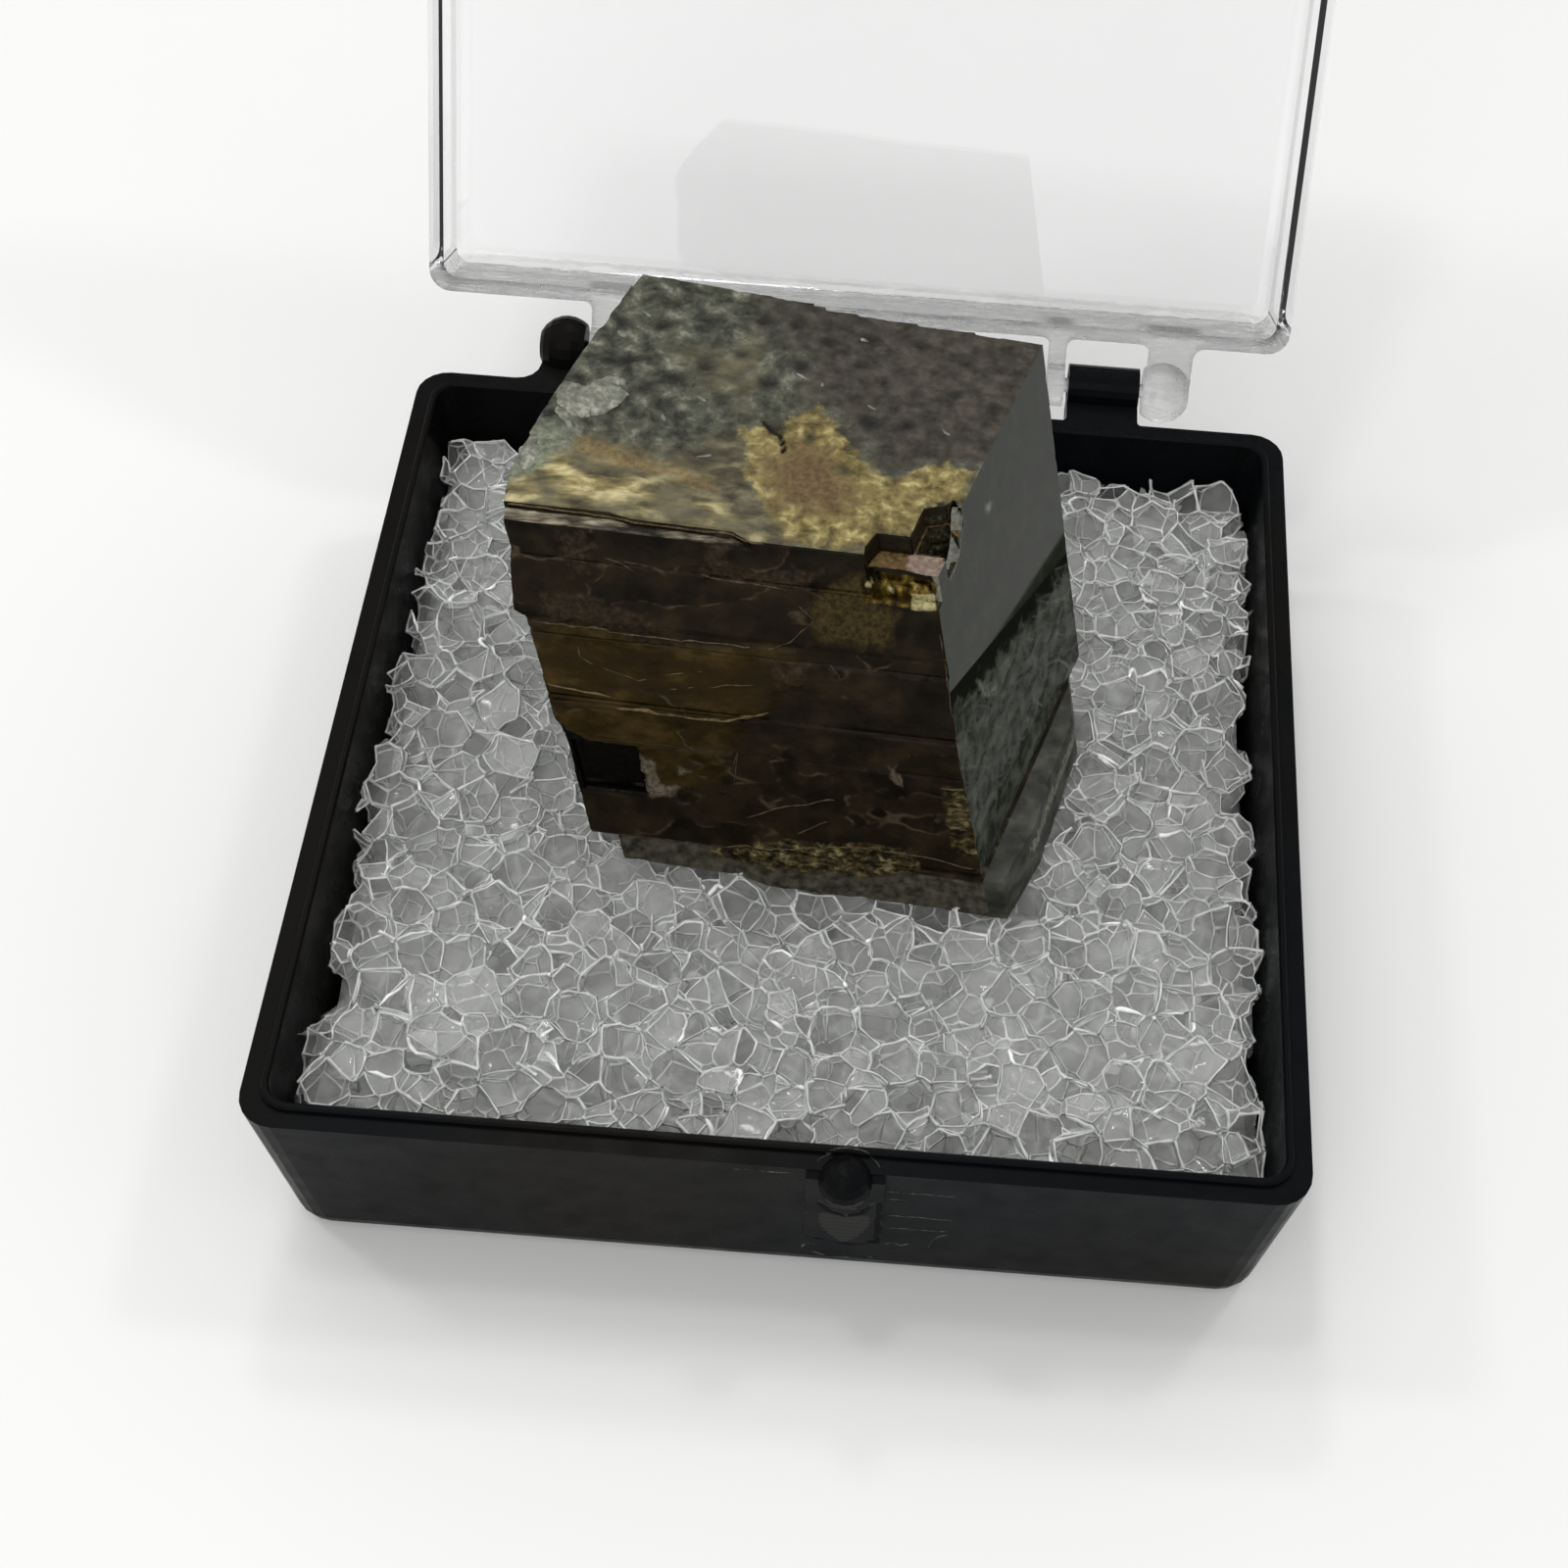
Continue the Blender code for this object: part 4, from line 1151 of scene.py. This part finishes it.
def siderite_side():
    """Glossy dark brown cleavage faces with a golden zone and paler torn sheets."""
    g = Graph("siderite_side")
    where = g.place()
    fray = g.noise(where, 1.1, detail=6.0)
    fine = g.noise(where, 3.6, detail=5.0, roughness=0.65)
    layers = g.stretched(where, (0.25, 0.25, 1.9), (0.05, 0.0, 0.0))
    layers = g.noise(layers, 1.0, detail=7.0, distortion=0.5)
    tone = side_ground(g, where, fray)
    tone = side_sheets(g, where, fray, tone)
    tone = side_blotches(g, where, fine, fray, tone)
    tone = side_corner(g, where, fine, fray, tone)
    g.set(Base_Color=tone, Specular_IOR_Level=0.05)
    g.set(Roughness=g.ramp(fray, (0.35, 0.20), (0.7, 0.42)))
    steps = g.bump(layers, 0.15, 0.2)
    g.set(Normal=g.bump(fine, 0.25, 0.08, steps))
    return g.material


# Two facets of the right face, hardly tilted from its plane, that meet in a straight fold.
UPPER_TILT = (0.0, -0.05, 0.105)
LOWER_TILT = (0.0, 0.0, 0.024)


def siderite_mirror():
    """The right face: smooth cleavage that reflects like dark glass, with a faint fold and a
    painted shade band just below it.
    """
    g = Graph("siderite_mirror")
    where = g.place()
    specks = g.ramp(g.noise(where, 4.5, detail=3.0), (0.70, 0.0), (0.80, 1.0))
    mottle = g.noise(g.stretched(where, (1.0, 0.6, 1.0)), 1.1, detail=6.0, distortion=0.6)
    mottle = g.shades(
        mottle, (0.36, 0.012, 0.014, 0.009), (0.52, 0.043, 0.047, 0.037),
        (0.70, 0.084, 0.090, 0.073))
    # Painted shade: a ragged dark band just below the fold; above the fold the haze covers it.
    ragged = patch(g, "fold_shade_band", g.noise(where, 0.9, detail=6.0), soft=0.25, amount=1.6)
    mottle = g.mix(ragged, mottle, (0.0075, 0.0090, 0.0065))
    haze = g.shades(
        g.noise(where, 0.8, detail=6.0), (0.35, 0.0135, 0.0165, 0.0105),
        (0.70, 0.0235, 0.0270, 0.0190))
    upper = g.math("ADD", g.math("MULTIPLY", g.attribute("fold"), 12.0), 0.5, clamp=True)
    tone = g.mix(specks, g.mix(upper, mottle, haze), (0.085, 0.088, 0.075))
    chip = g.shades(
        g.noise(where, 2.8, detail=5.0), (0.4, 0.05, 0.052, 0.042), (0.7, 0.16, 0.165, 0.14))
    ragged = g.noise(where, 2.2, detail=5.0)
    tone = g.mix(patch(g, "nicks", ragged, soft=0.12, amount=0.25), tone, chip)
    g.set(Base_Color=tone, IOR=1.225)
    g.set(Roughness=g.ramp(g.noise(where, 0.7, detail=6.0), (0.35, 0.035), (0.75, 0.085)))
    tilt = g.mix(upper, LOWER_TILT, UPPER_TILT)
    facing = g.node("ShaderNodeNewGeometry").outputs["Normal"]
    tilted = g.node("ShaderNodeVectorMath", operation="ADD")
    g.link(facing, tilted.inputs[0])
    g.link(tilt, tilted.inputs[1])
    level = g.node("ShaderNodeVectorMath", operation="NORMALIZE")
    g.link(tilted.outputs[0], level.inputs[0])
    g.set(Normal=g.bump(g.noise(where, 2.0, detail=4.0), 0.03, 0.02, level.outputs[0]))
    return g.material


def siderite_flank():
    """Satin grey-green foot below the right face, with a pale frayed ridge."""
    g = Graph("siderite_flank")
    where = g.place()
    fine = g.noise(where, 3.0, detail=6.0, roughness=0.65)
    tone = g.noise(g.stretched(where, (0.7, 0.7, 1.4)), 0.8, detail=7.0)
    tone = g.shades(
        tone, (0.34, 0.013, 0.013, 0.010), (0.52, 0.034, 0.035, 0.028), (0.70, 0.075, 0.076, 0.062))
    pale = g.shades(fine, (0.40, 0.060, 0.058, 0.042), (0.68, 0.24, 0.23, 0.18))
    tone = g.mix(patch(g, "ridge", fine, soft=0.10, amount=0.55), tone, pale)
    g.set(Base_Color=tone, Roughness=0.4, Specular_IOR_Level=0.2)
    g.set(Normal=g.bump(fine, 0.3, 0.1))
    return g.material


def landing(tree, point, direction):
    """Where a ray from a point meets a surface."""
    return tree.ray_cast(Vector(point), Vector(direction))[0]


class Ribbons:
    """Low ridges that follow lines on a face, collected in one mesh."""

    def __init__(self, name, tree=None):
        self.name, self.tree = name, tree
        self.points, self.faces, self.shares = [], [], []

    def row(self, middle, side, half, face, section):
        """One cross-section of a ridge, or None where it misses the face."""
        corner, along, down, out = face
        made = []
        for across, lift in section:
            s, d = middle + side * half * across
            place = corner + along * s + down * d
            if self.tree is not None:
                hit = landing(self.tree, place + out * 3.0, -out)
                if hit is None or abs((np.array(hit) - place) @ out) > 1.2:
                    return None
                place = np.array(hit)
            made.append(place + out * lift)
        return made

    def add(self, line, width, share, face, section, ragged=0.9, drift=0.1):
        """A ridge along a line whose width comes and goes."""
        line = np.array(line, float)
        reach = np.concatenate([[0.0], np.cumsum(np.linalg.norm(np.diff(line, axis=0), axis=1))])
        length = reach[-1]
        stops = np.linspace(0.0, length, max(3, int(length / 0.16)))
        places = np.stack([np.interp(stops, reach, line[:, axis]) for axis in (0, 1)], axis=1)
        tangent = np.gradient(places, axis=0)
        tangent /= np.linalg.norm(tangent, axis=1)[:, None]
        lanes = len(section)
        joined = False
        for stop, place, (tx, ty) in zip(stops, places, tangent):
            side = np.array([-ty, tx])
            seed = Vector((stop * 1.3, width * 50.0, line[0][0]))
            half = 0.5 * width * (0.75 + ragged * noise.noise(seed))
            half *= min(1.0, 0.35 + 2.0 * min(stop, length - stop))
            middle = place + side * drift * noise.noise(seed * 0.7 + Vector((0.0, 3.0, 0.0)))
            made = self.row(middle, side, half, face, section) if half > 0.016 else None
            if made is None:
                joined = False
                continue
            self.points.extend(made)
            self.shares.extend([share] * lanes)
            if joined:
                start = len(self.points) - 2 * lanes
                for lane in range(lanes - 1):
                    a = start + lane
                    self.faces.append((a, a + 1, a + 1 + lanes, a + lanes))
            joined = True

    def mesh(self):
        """The collected ridges as one mesh, each with its share."""
        mesh = mesh_from(self.name, self.points, self.faces)
        layer = mesh.attributes.new("share", "FLOAT", "POINT")
        layer.data.foreach_set("value", np.array(self.shares, np.float32))
        return mesh


# Cross-sections of ridges: (place across the ridge, lift off the face).
LOW_RIDGE = ((-1.0, -0.03), (-0.35, 0.035), (0.4, 0.03), (1.0, -0.03))
BROKEN_RIM = ((-1.0, -0.02), (-0.6, 0.02), (0.6, -0.3), (1.0, -0.5))
SCRATCH = ((-1.0, 0.0), (-0.4, 0.02), (0.4, 0.02), (1.0, 0.0))
# The broken front margin of the mirror face, (along its top edge, down along SHEAR).
MIRROR_RIM = [(4.35, 0.02), (4.15, 0.5), (3.75, 1.2), (3.3, 1.85), (2.6, 2.15), (1.4, 2.25)]


def sheet_edges(tree):
    """Thin ridges of torn cleavage sheets on the front, painted paler as a highlight, and the
    broken mirror rim.
    """
    ribbons = Ribbons("siderite_edges", tree)
    front = (FRONT_LEFT, FRONT_ALONG, SHEAR, FRONT_OUT)
    for line, width, share in SHEET_EDGES:
        ribbons.add(line, width, share, front, LOW_RIDGE)
    ribbons.tree = None
    right = (FRONT_RIGHT, RIGHT_ALONG, SHEAR, RIGHT_OUT)
    ribbons.add(MIRROR_RIM, 0.62, -1.0, right, BROKEN_RIM, ragged=0.4, drift=0.05)
    return ribbons.mesh()


def edge_material():
    """Gold to grey-brown rims, paler than the faces as a painted highlight, and chalk for the
    mirror rim.
    """
    g = Graph("siderite_rims")
    where = g.place()
    fine = g.noise(where, 3.0, detail=5.0, roughness=0.7)
    gold = g.shades(fine, (0.35, 0.035, 0.023, 0.007), (0.65, 0.165, 0.120, 0.040))
    grey = g.shades(fine, (0.35, 0.012, 0.008, 0.005), (0.65, 0.075, 0.056, 0.038))
    chalk = g.shades(fine, (0.35, 0.060, 0.062, 0.048), (0.65, 0.170, 0.172, 0.140))
    share = g.attribute("share")
    tone = g.mix(g.math("MAXIMUM", share, 0.0), grey, gold)
    tone = g.mix(g.math("LESS_THAN", share, -0.5), tone, chalk)
    g.set(Base_Color=tone, Roughness=0.34, Specular_IOR_Level=0.2)
    g.set(Normal=g.bump(fine, 0.3, 0.06))
    return g.material


# Pale flakes lying on the top face: outline and thickness.
FLAKES = [
    ([(-15.5, 7.2), (-15.1, 8.8), (-13.9, 8.6), (-13.1, 9.4), (-12.3, 9.6), (-11.6, 9.1),
      (-11.5, 7.6), (-12.4, 6.6), (-13.5, 5.9), (-14.5, 6.1)], 0.16),
    ([(-15.6, 7.0), (-14.6, 6.6), (-13.5, 5.0), (-13.5, 4.3), (-14.4, 4.9)], 0.14),
    ([(-16.9, 2.3), (-16.3, 4.7), (-15.8, 4.1), (-15.7, 2.9), (-16.2, 1.5)], 0.15),
    ([(-11.7, 15.0), (-11.5, 15.1), (-10.8, 14.4), (-10.9, 14.2)], 0.09),
    ([(-12.9, 13.2), (-12.6, 13.3), (-12.1, 12.8), (-12.2, 12.5), (-12.7, 12.8)], 0.12),
    ([(-2.7, 10.8), (-2.5, 10.95), (-1.6, 10.4), (-1.7, 10.2)], 0.09),
    ([(5.7, 7.35), (5.9, 7.5), (6.6, 7.0), (6.4, 6.75)], 0.12),
    ([(-1.15, 10.1), (-0.95, 10.3), (-0.7, 10.1), (-0.9, 9.85)], 0.12),
    ([(0.75, 14.0), (1.0, 14.15), (1.5, 14.0), (1.4, 13.8), (1.0, 13.8)], 0.12),
    ([(-9.8, 6.9), (-9.4, 7.0), (-8.9, 6.3), (-9.3, 6.2)], 0.1),
    ([(-8.0, 8.3), (-7.7, 8.6), (-6.9, 8.1), (-7.2, 7.9)], 0.08),
    ([(1.4, 8.7), (1.6, 8.8), (2.4, 8.45), (2.3, 8.3)], 0.07),
    ([(-7.6, 3.5), (-7.5, 3.7), (-6.3, 4.2), (-6.2, 4.0)], 0.07),
]


def build_flakes(tree):
    """Thin sheets with ragged, lifted edges on the top face."""
    rng = random.Random(3)
    whole = bmesh.new()
    for outline, thick in FLAKES:
        bm = bmesh.new()
        bm.faces.new([bm.verts.new((x, y, 0.0)) for x, y in outline])
        bmesh.ops.triangulate(bm, faces=bm.faces)
        size = math.sqrt(sum(face.calc_area() for face in bm.faces))
        cuts = max(1, min(5, int(size / 0.45)))
        bmesh.ops.subdivide_edges(bm, edges=bm.edges, cuts=cuts, use_grid_fill=True,
                                  fractal=0.6, seed=rng.randrange(99))
        bmesh.ops.triangulate(bm, faces=bm.faces)
        for vert in bm.verts:
            rim = vert.is_boundary
            hit = landing(tree, (vert.co.x, vert.co.y, TOP_Z + 3.0), (0.0, 0.0, -1.0))
            ground = hit.z if hit is not None and hit.z > TOP_Z - 1.0 else TOP_Z - 0.1
            ripple = 0.5 + 0.5 * noise.noise(Vector((vert.co.x, vert.co.y, thick * 40.0)) * 1.6)
            vert.co.z = ground + (-0.04 if rim else thick * (0.45 + 0.8 * ripple))
        made = bpy.data.meshes.new("flake")
        bm.to_mesh(made)
        bm.free()
        whole.from_mesh(made)
        bpy.data.meshes.remove(made)
    bmesh.ops.scale(whole, verts=whole.verts, vec=(MM,) * 3)
    mesh = bpy.data.meshes.new("siderite_flakes")
    whole.to_mesh(mesh)
    whole.free()
    mesh.shade_smooth()
    return mesh


def flake_material():
    """Pale, slightly translucent mineral film."""
    g = Graph("siderite_flakes")
    where = g.place()
    fine = g.noise(where, 2.0, detail=6.0, roughness=0.65)
    tone = g.shades(
        fine, (0.32, 0.055, 0.056, 0.040), (0.50, 0.130, 0.132, 0.100), (0.70, 0.33, 0.33, 0.27))
    g.set(Base_Color=tone, Roughness=0.4, Specular_IOR_Level=0.4)
    g.set(Normal=g.bump(fine, 0.4, 0.1))
    return g.material


def add_block():
    """The siderite block with the torn edges and loose flakes on it."""
    mesh = build_block()
    block = add_object("siderite", mesh, siderite_top())
    mesh.materials.append(siderite_side())
    mesh.materials.append(siderite_mirror())
    mesh.materials.append(siderite_flank())
    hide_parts("siderite_crystal")
    tree = search_tree(mesh)
    edges = add_object("siderite_edges", sheet_edges(tree), edge_material())
    flakes = add_object("siderite_flakes", build_flakes(tree), flake_material())


# ---- catch: wear, painted highlight and shade on the front wall ----------------------

# Places on the front wall, (x, distance down the wall from the rim).
WALL_TOP = np.array([0.0, -28.5, 13.4])
WALL_DOWN = np.array([0.0, 1.15, -13.4])
CATCH_SCRATCHES = [
    ([(5.9, 2.2), (7.6, 2.15), (9.9, 2.2)], 0.10),
    ([(5.9, 3.2), (7.4, 3.1)], 0.07),
    ([(5.9, 5.5), (7.9, 5.4), (9.9, 5.5)], 0.12),
    ([(6.1, 7.2), (8.0, 7.1), (9.7, 7.1)], 0.07),
    ([(8.7, 9.8), (8.75, 8.6), (9.1, 7.9), (9.6, 7.5)], 0.16),
    ([(6.3, 9.6), (6.7, 9.2), (7.1, 9.7), (7.6, 9.2)], 0.20),
    ([(1.6, 11.0), (1.9, 10.2), (2.4, 10.4)], 0.22),
    ([(1.6, 2.1), (1.65, 2.5)], 0.18),
    ([(1.55, 4.2), (1.75, 5.3)], 0.16),
    ([(1.75, 7.0), (1.9, 7.2)], 0.14),
    ([(-2.4, 0.75), (-1.0, 0.6), (0.4, 0.7), (1.3, 0.6)], 0.10),
    ([(2.2, 11.6), (3.4, 12.2), (4.8, 12.0), (6.0, 11.6)], 0.12),
]
CATCH_RING = 1.75                # radius of the ring painted as a highlight around the ball
CATCH_CENTRE = (3.88, 1.9)
TONGUE_X, TONGUE_ROW_WIDTH = 3.9, 0.92
TONGUE_ROWS = [                  # distance down the wall and half width of each lighter row
    (5.2, 1.42), (5.7, 1.42), (6.2, 1.38), (6.7, 1.28), (7.2, 1.12), (7.7, 0.88), (8.2, 0.58),
    (8.6, 0.3),
]
CATCH_SHADE = [
    ([(2.45, 3.5), (3.1, 4.75), (4.0, 5.2), (4.8, 4.7), (5.2, 3.5)], 0.55),
    ([(2.3, 8.6), (3.0, 9.5), (4.1, 9.9), (5.2, 9.4), (5.7, 8.4)], 1.0),
    ([(5.75, 3.0), (5.75, 6.0), (5.75, 9.0)], 0.5),
]


def catch_wear_and_light_mesh(tree):
    """Dusty scratches, a lighter tongue, a ring painted as a highlight, and painted shade under the
    ball and the tongue, around the catch.
    """
    down = unit(WALL_DOWN)
    out = np.array([0.0, down[2], -down[1]])
    wall = (WALL_TOP, np.eye(3)[0], down, out)
    catch_ribbons = Ribbons("catch_wear_and_painted_light", tree)
    for line, width in CATCH_SCRATCHES:
        catch_ribbons.add(line, width, 0.8, wall, SCRATCH)
    centre_x, centre_d = CATCH_CENTRE
    # Lighter arcs on the wall, painted as the highlight of a ring around the ball.
    turns = np.linspace(0.15 * math.pi, 0.85 * math.pi, 9)
    arc = [(centre_x + CATCH_RING * math.cos(t), centre_d + 2.3 * math.sin(t)) for t in turns]
    catch_ribbons.add(arc, 0.12, 0.35, wall, SCRATCH)
    for distance, half in TONGUE_ROWS:
        row = [(TONGUE_X + half * side, distance) for side in (-1.0, 0.0, 1.0)]
        catch_ribbons.add(row, TONGUE_ROW_WIDTH, 0.0, wall, SCRATCH, ragged=0.08, drift=0.02)
    ledge = (WALL_TOP, *np.eye(3))
    # The ring's painted highlight on the ledge.
    turns = np.linspace(0.08 * math.pi, 0.92 * math.pi, 9)
    arc = [(centre_x + CATCH_RING * math.cos(t), 0.15 + 1.1 * math.sin(t)) for t in turns]
    catch_ribbons.add(arc, 0.13, 0.45, ledge, SCRATCH)
    # Near-black ribbons painted as shade under the ball, under the tongue and beside the pad.
    for line, width in CATCH_SHADE:
        catch_ribbons.add(line, width, -1.0, wall, SCRATCH, ragged=0.3, drift=0.02)
    return catch_ribbons.mesh()


def wear_and_painted_light_material():
    """Grey plastic dust, whitened scratches and a painted highlight ring, light grey on the tongue,
    and near black for painted shade.
    """
    g = Graph("catch_wear_and_painted_light")
    where = g.place()
    fine = g.noise(where, 3.0, detail=5.0)
    dusty = g.shades(fine, (0.38, 0.010, 0.010, 0.010), (0.65, 0.13, 0.13, 0.12))
    share = g.attribute("share")
    tone = g.mix(g.math("MAXIMUM", share, 0.0), (0.026, 0.0265, 0.0250), dusty)
    # Share -1: near-black painted shade.
    tone = g.mix(g.math("LESS_THAN", share, -0.5), tone, (0.0010, 0.0013, 0.0018))
    g.set(Base_Color=tone, Roughness=0.5, Specular_IOR_Level=0.03)
    return g.material


def add_catch_wear_and_painted_light():
    """The wear, the painted highlight and the painted shade around the catch."""
    tree = search_tree(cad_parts["box_base"].data)
    catch_ribbons = add_object("catch_wear_and_painted_light", catch_wear_and_light_mesh(tree), wear_and_painted_light_material())


# ---- tray and lid --------------------------------------------------------------------

HINGE_Y, HINGE_Z = 31.65, 13.55  # hinge axis
LID_OPEN_DEG = 118.0
BACK_WALL_Y = 28.5               # outer face of the hinge-side wall
SCUFFED_BAND = 1.35              # thickness of the lid's wall that is scuffed


def black_styrene():
    """Glossy black moulding with fine scuffs, a little dust and a broad warm-to-blue hue shift
    painted as reflection.
    """
    g = Graph("black_styrene_worn_painted_reflection")
    where = g.place()
    scratches = g.noise(g.stretched(where, (0.15, 6.0, 6.0), (0.0, 0.0, 0.5)), 1.0, detail=6.0)
    grain = g.noise(where, 6.0, detail=4.0)
    rough = g.ramp(g.noise(where, 0.5, detail=5.0), (0.3, 0.22), (0.7, 0.42))
    # Painted reflection: broad patches of warm black and blue-black, as the surroundings would show
    # in the gloss.
    plain = g.shades(
        g.noise(where, 0.035, detail=2.0), (0.40, 0.0048, 0.0040, 0.0030),
        (0.60, 0.0026, 0.0034, 0.0044))
    tone = g.mix(g.ramp(grain, (0.64, 0.0), (0.82, 0.25)), plain, (0.022, 0.022, 0.020))
    g.set(Base_Color=tone, Roughness=rough, Specular_IOR_Level=0.035)
    g.set(Normal=g.bump(scratches, 0.08, 0.05))
    return g.material


def clear_styrene():
    """Very clear plastic that is scuffed grey along its hinge side and at the knuckles."""
    g = Graph("clear_styrene_lid")
    where = g.place()
    shut = g.node("ShaderNodeVectorRotate", rotation_type="X_AXIS")
    g.link(where, shut.inputs["Vector"])
    shut.inputs["Center"].default_value = (0.0, HINGE_Y, HINGE_Z)
    shut.inputs["Angle"].default_value = math.radians(LID_OPEN_DEG)
    apart = g.node("ShaderNodeSeparateXYZ")
    g.link(shut.outputs[0], apart.inputs[0])
    streaks = g.stretched(shut.outputs[0], (0.35, 2.2, 2.2))
    streaks = g.noise(streaks, 1.2, detail=6.0, distortion=0.8)
    back = g.math("SUBTRACT", apart.outputs["Y"], BACK_WALL_Y - SCUFFED_BAND)
    band = g.math("MULTIPLY", back, 4.0, clamp=True)
    scuff = g.math("MULTIPLY", band, g.ramp(streaks, (0.36, 0.35), (0.62, 1.0)))
    scuffed = g.shades(
        streaks, (0.38, 0.36, 0.37, 0.36), (0.52, 0.60, 0.61, 0.60), (0.62, 0.95, 0.95, 0.94))
    tone = g.mix(scuff, (0.975, 0.98, 0.98), scuffed)
    smooth = g.ramp(g.noise(where, 0.8, detail=5.0), (0.55, 0.0), (0.8, 0.04))
    rough = g.math("ADD", smooth, g.math("MULTIPLY", scuff, 0.5))
    g.set(Base_Color=tone, Roughness=rough, IOR=1.59, Transmission_Weight=1.0)
    g.set(Normal=g.bump(g.math("MULTIPLY", streaks, band), 0.25, 0.3))
    return g.material


def finish_box():
    """Give the tray and the lid their finished materials."""
    for name, material in (("box_base", black_styrene()), ("lid", clear_styrene())):
        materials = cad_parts[name].data.materials
        materials.clear()
        materials.append(material)


# ---- surroundings --------------------------------------------------------------------

def add_camera():
    """The camera, and the plain colour transform."""
    data = bpy.data.cameras.new("camera")
    data.lens = LENS
    data.sensor_width = SENSOR
    data.shift_x = SHIFT_X
    data.clip_start = 0.005
    data.clip_end = 10.0
    camera = bpy.data.objects.new("camera", data)
    camera.location = Vector(CAMERA_AT) * MM
    camera.rotation_euler = Euler([math.radians(a) for a in CAMERA_TURN_DEG])
    bpy.context.scene.collection.objects.link(camera)
    bpy.context.scene.camera = camera
    bpy.context.scene.view_settings.view_transform = "Standard"


# Small bright lamps that put the sharp glints on foam films and plastic edges.
GLINT_LIGHTS = {
    "glint_back": (-40.0, 190.0, 330.0),
    "glint_left": (-230.0, 60.0, 300.0),
    "glint_right": (170.0, 110.0, 340.0),
    "glint_front": (-60.0, 30.0, 430.0),
}
GLINT_SIZE = 38.0
GLINT_POWER = 0.14
KEY_AT, KEY_SIZE, KEY_POWER = (-120.0, 120.0, 430.0), 240.0, 0.17
FILL_AT, FILL_SIZE, FILL_POWER = (-60.0, -330.0, 330.0), 275.0, 0.46
LIGHTS_AIM = (0.0, 0.0, 10.0)
SKY_COLOUR = (0.96, 0.96, 0.955, 1.0)
SKY_STRENGTH = 0.775
FLOOR_SIZE = 6.0                # metres


def area_light(name, at_mm, size_mm, power):
    """A square soft light aimed at the middle of the box."""
    data = bpy.data.lights.new(name, "AREA")
    data.size = size_mm * MM
    data.energy = power
    lamp = bpy.data.objects.new(name, data)
    lamp.location = Vector(at_mm) * MM
    aim = Vector(LIGHTS_AIM) - Vector(at_mm)
    lamp.rotation_euler = aim.to_track_quat("-Z", "Y").to_euler()
    bpy.context.scene.collection.objects.link(lamp)


def floor_material():
    """Matt white paper."""
    g = Graph("floor_paper")
    where = g.place(scale=1.0)
    tone = g.shades(g.noise(where, 3.0), (0.3, 0.755, 0.755, 0.75), (0.7, 0.79, 0.79, 0.785))
    g.set(Base_Color=tone, Roughness=0.7)
    return g.material


def add_surroundings():
    """Floor, sky and lamps."""
    size = FLOOR_SIZE / 2
    mesh = bpy.data.meshes.new("floor")
    corners = [(-size, -size, 0), (size, -size, 0), (size, size, 0), (-size, size, 0)]
    mesh.from_pydata(corners, [], [(0, 1, 2, 3)])
    floor = bpy.data.objects.new("floor", mesh)
    bpy.context.scene.collection.objects.link(floor)
    mesh.materials.append(floor_material())

    world = bpy.data.worlds.new("studio")
    world.use_nodes = True
    background = world.node_tree.nodes["Background"]
    background.inputs["Color"].default_value = SKY_COLOUR
    background.inputs["Strength"].default_value = SKY_STRENGTH
    bpy.context.scene.world = world

    area_light("key", KEY_AT, KEY_SIZE, KEY_POWER)
    area_light("fill", FILL_AT, FILL_SIZE, FILL_POWER)
    for name, place in GLINT_LIGHTS.items():
        area_light(name, place, GLINT_SIZE, GLINT_POWER)


add_camera()
add_surroundings()
finish_box()
add_foam()
add_block()
add_catch_wear_and_painted_light()
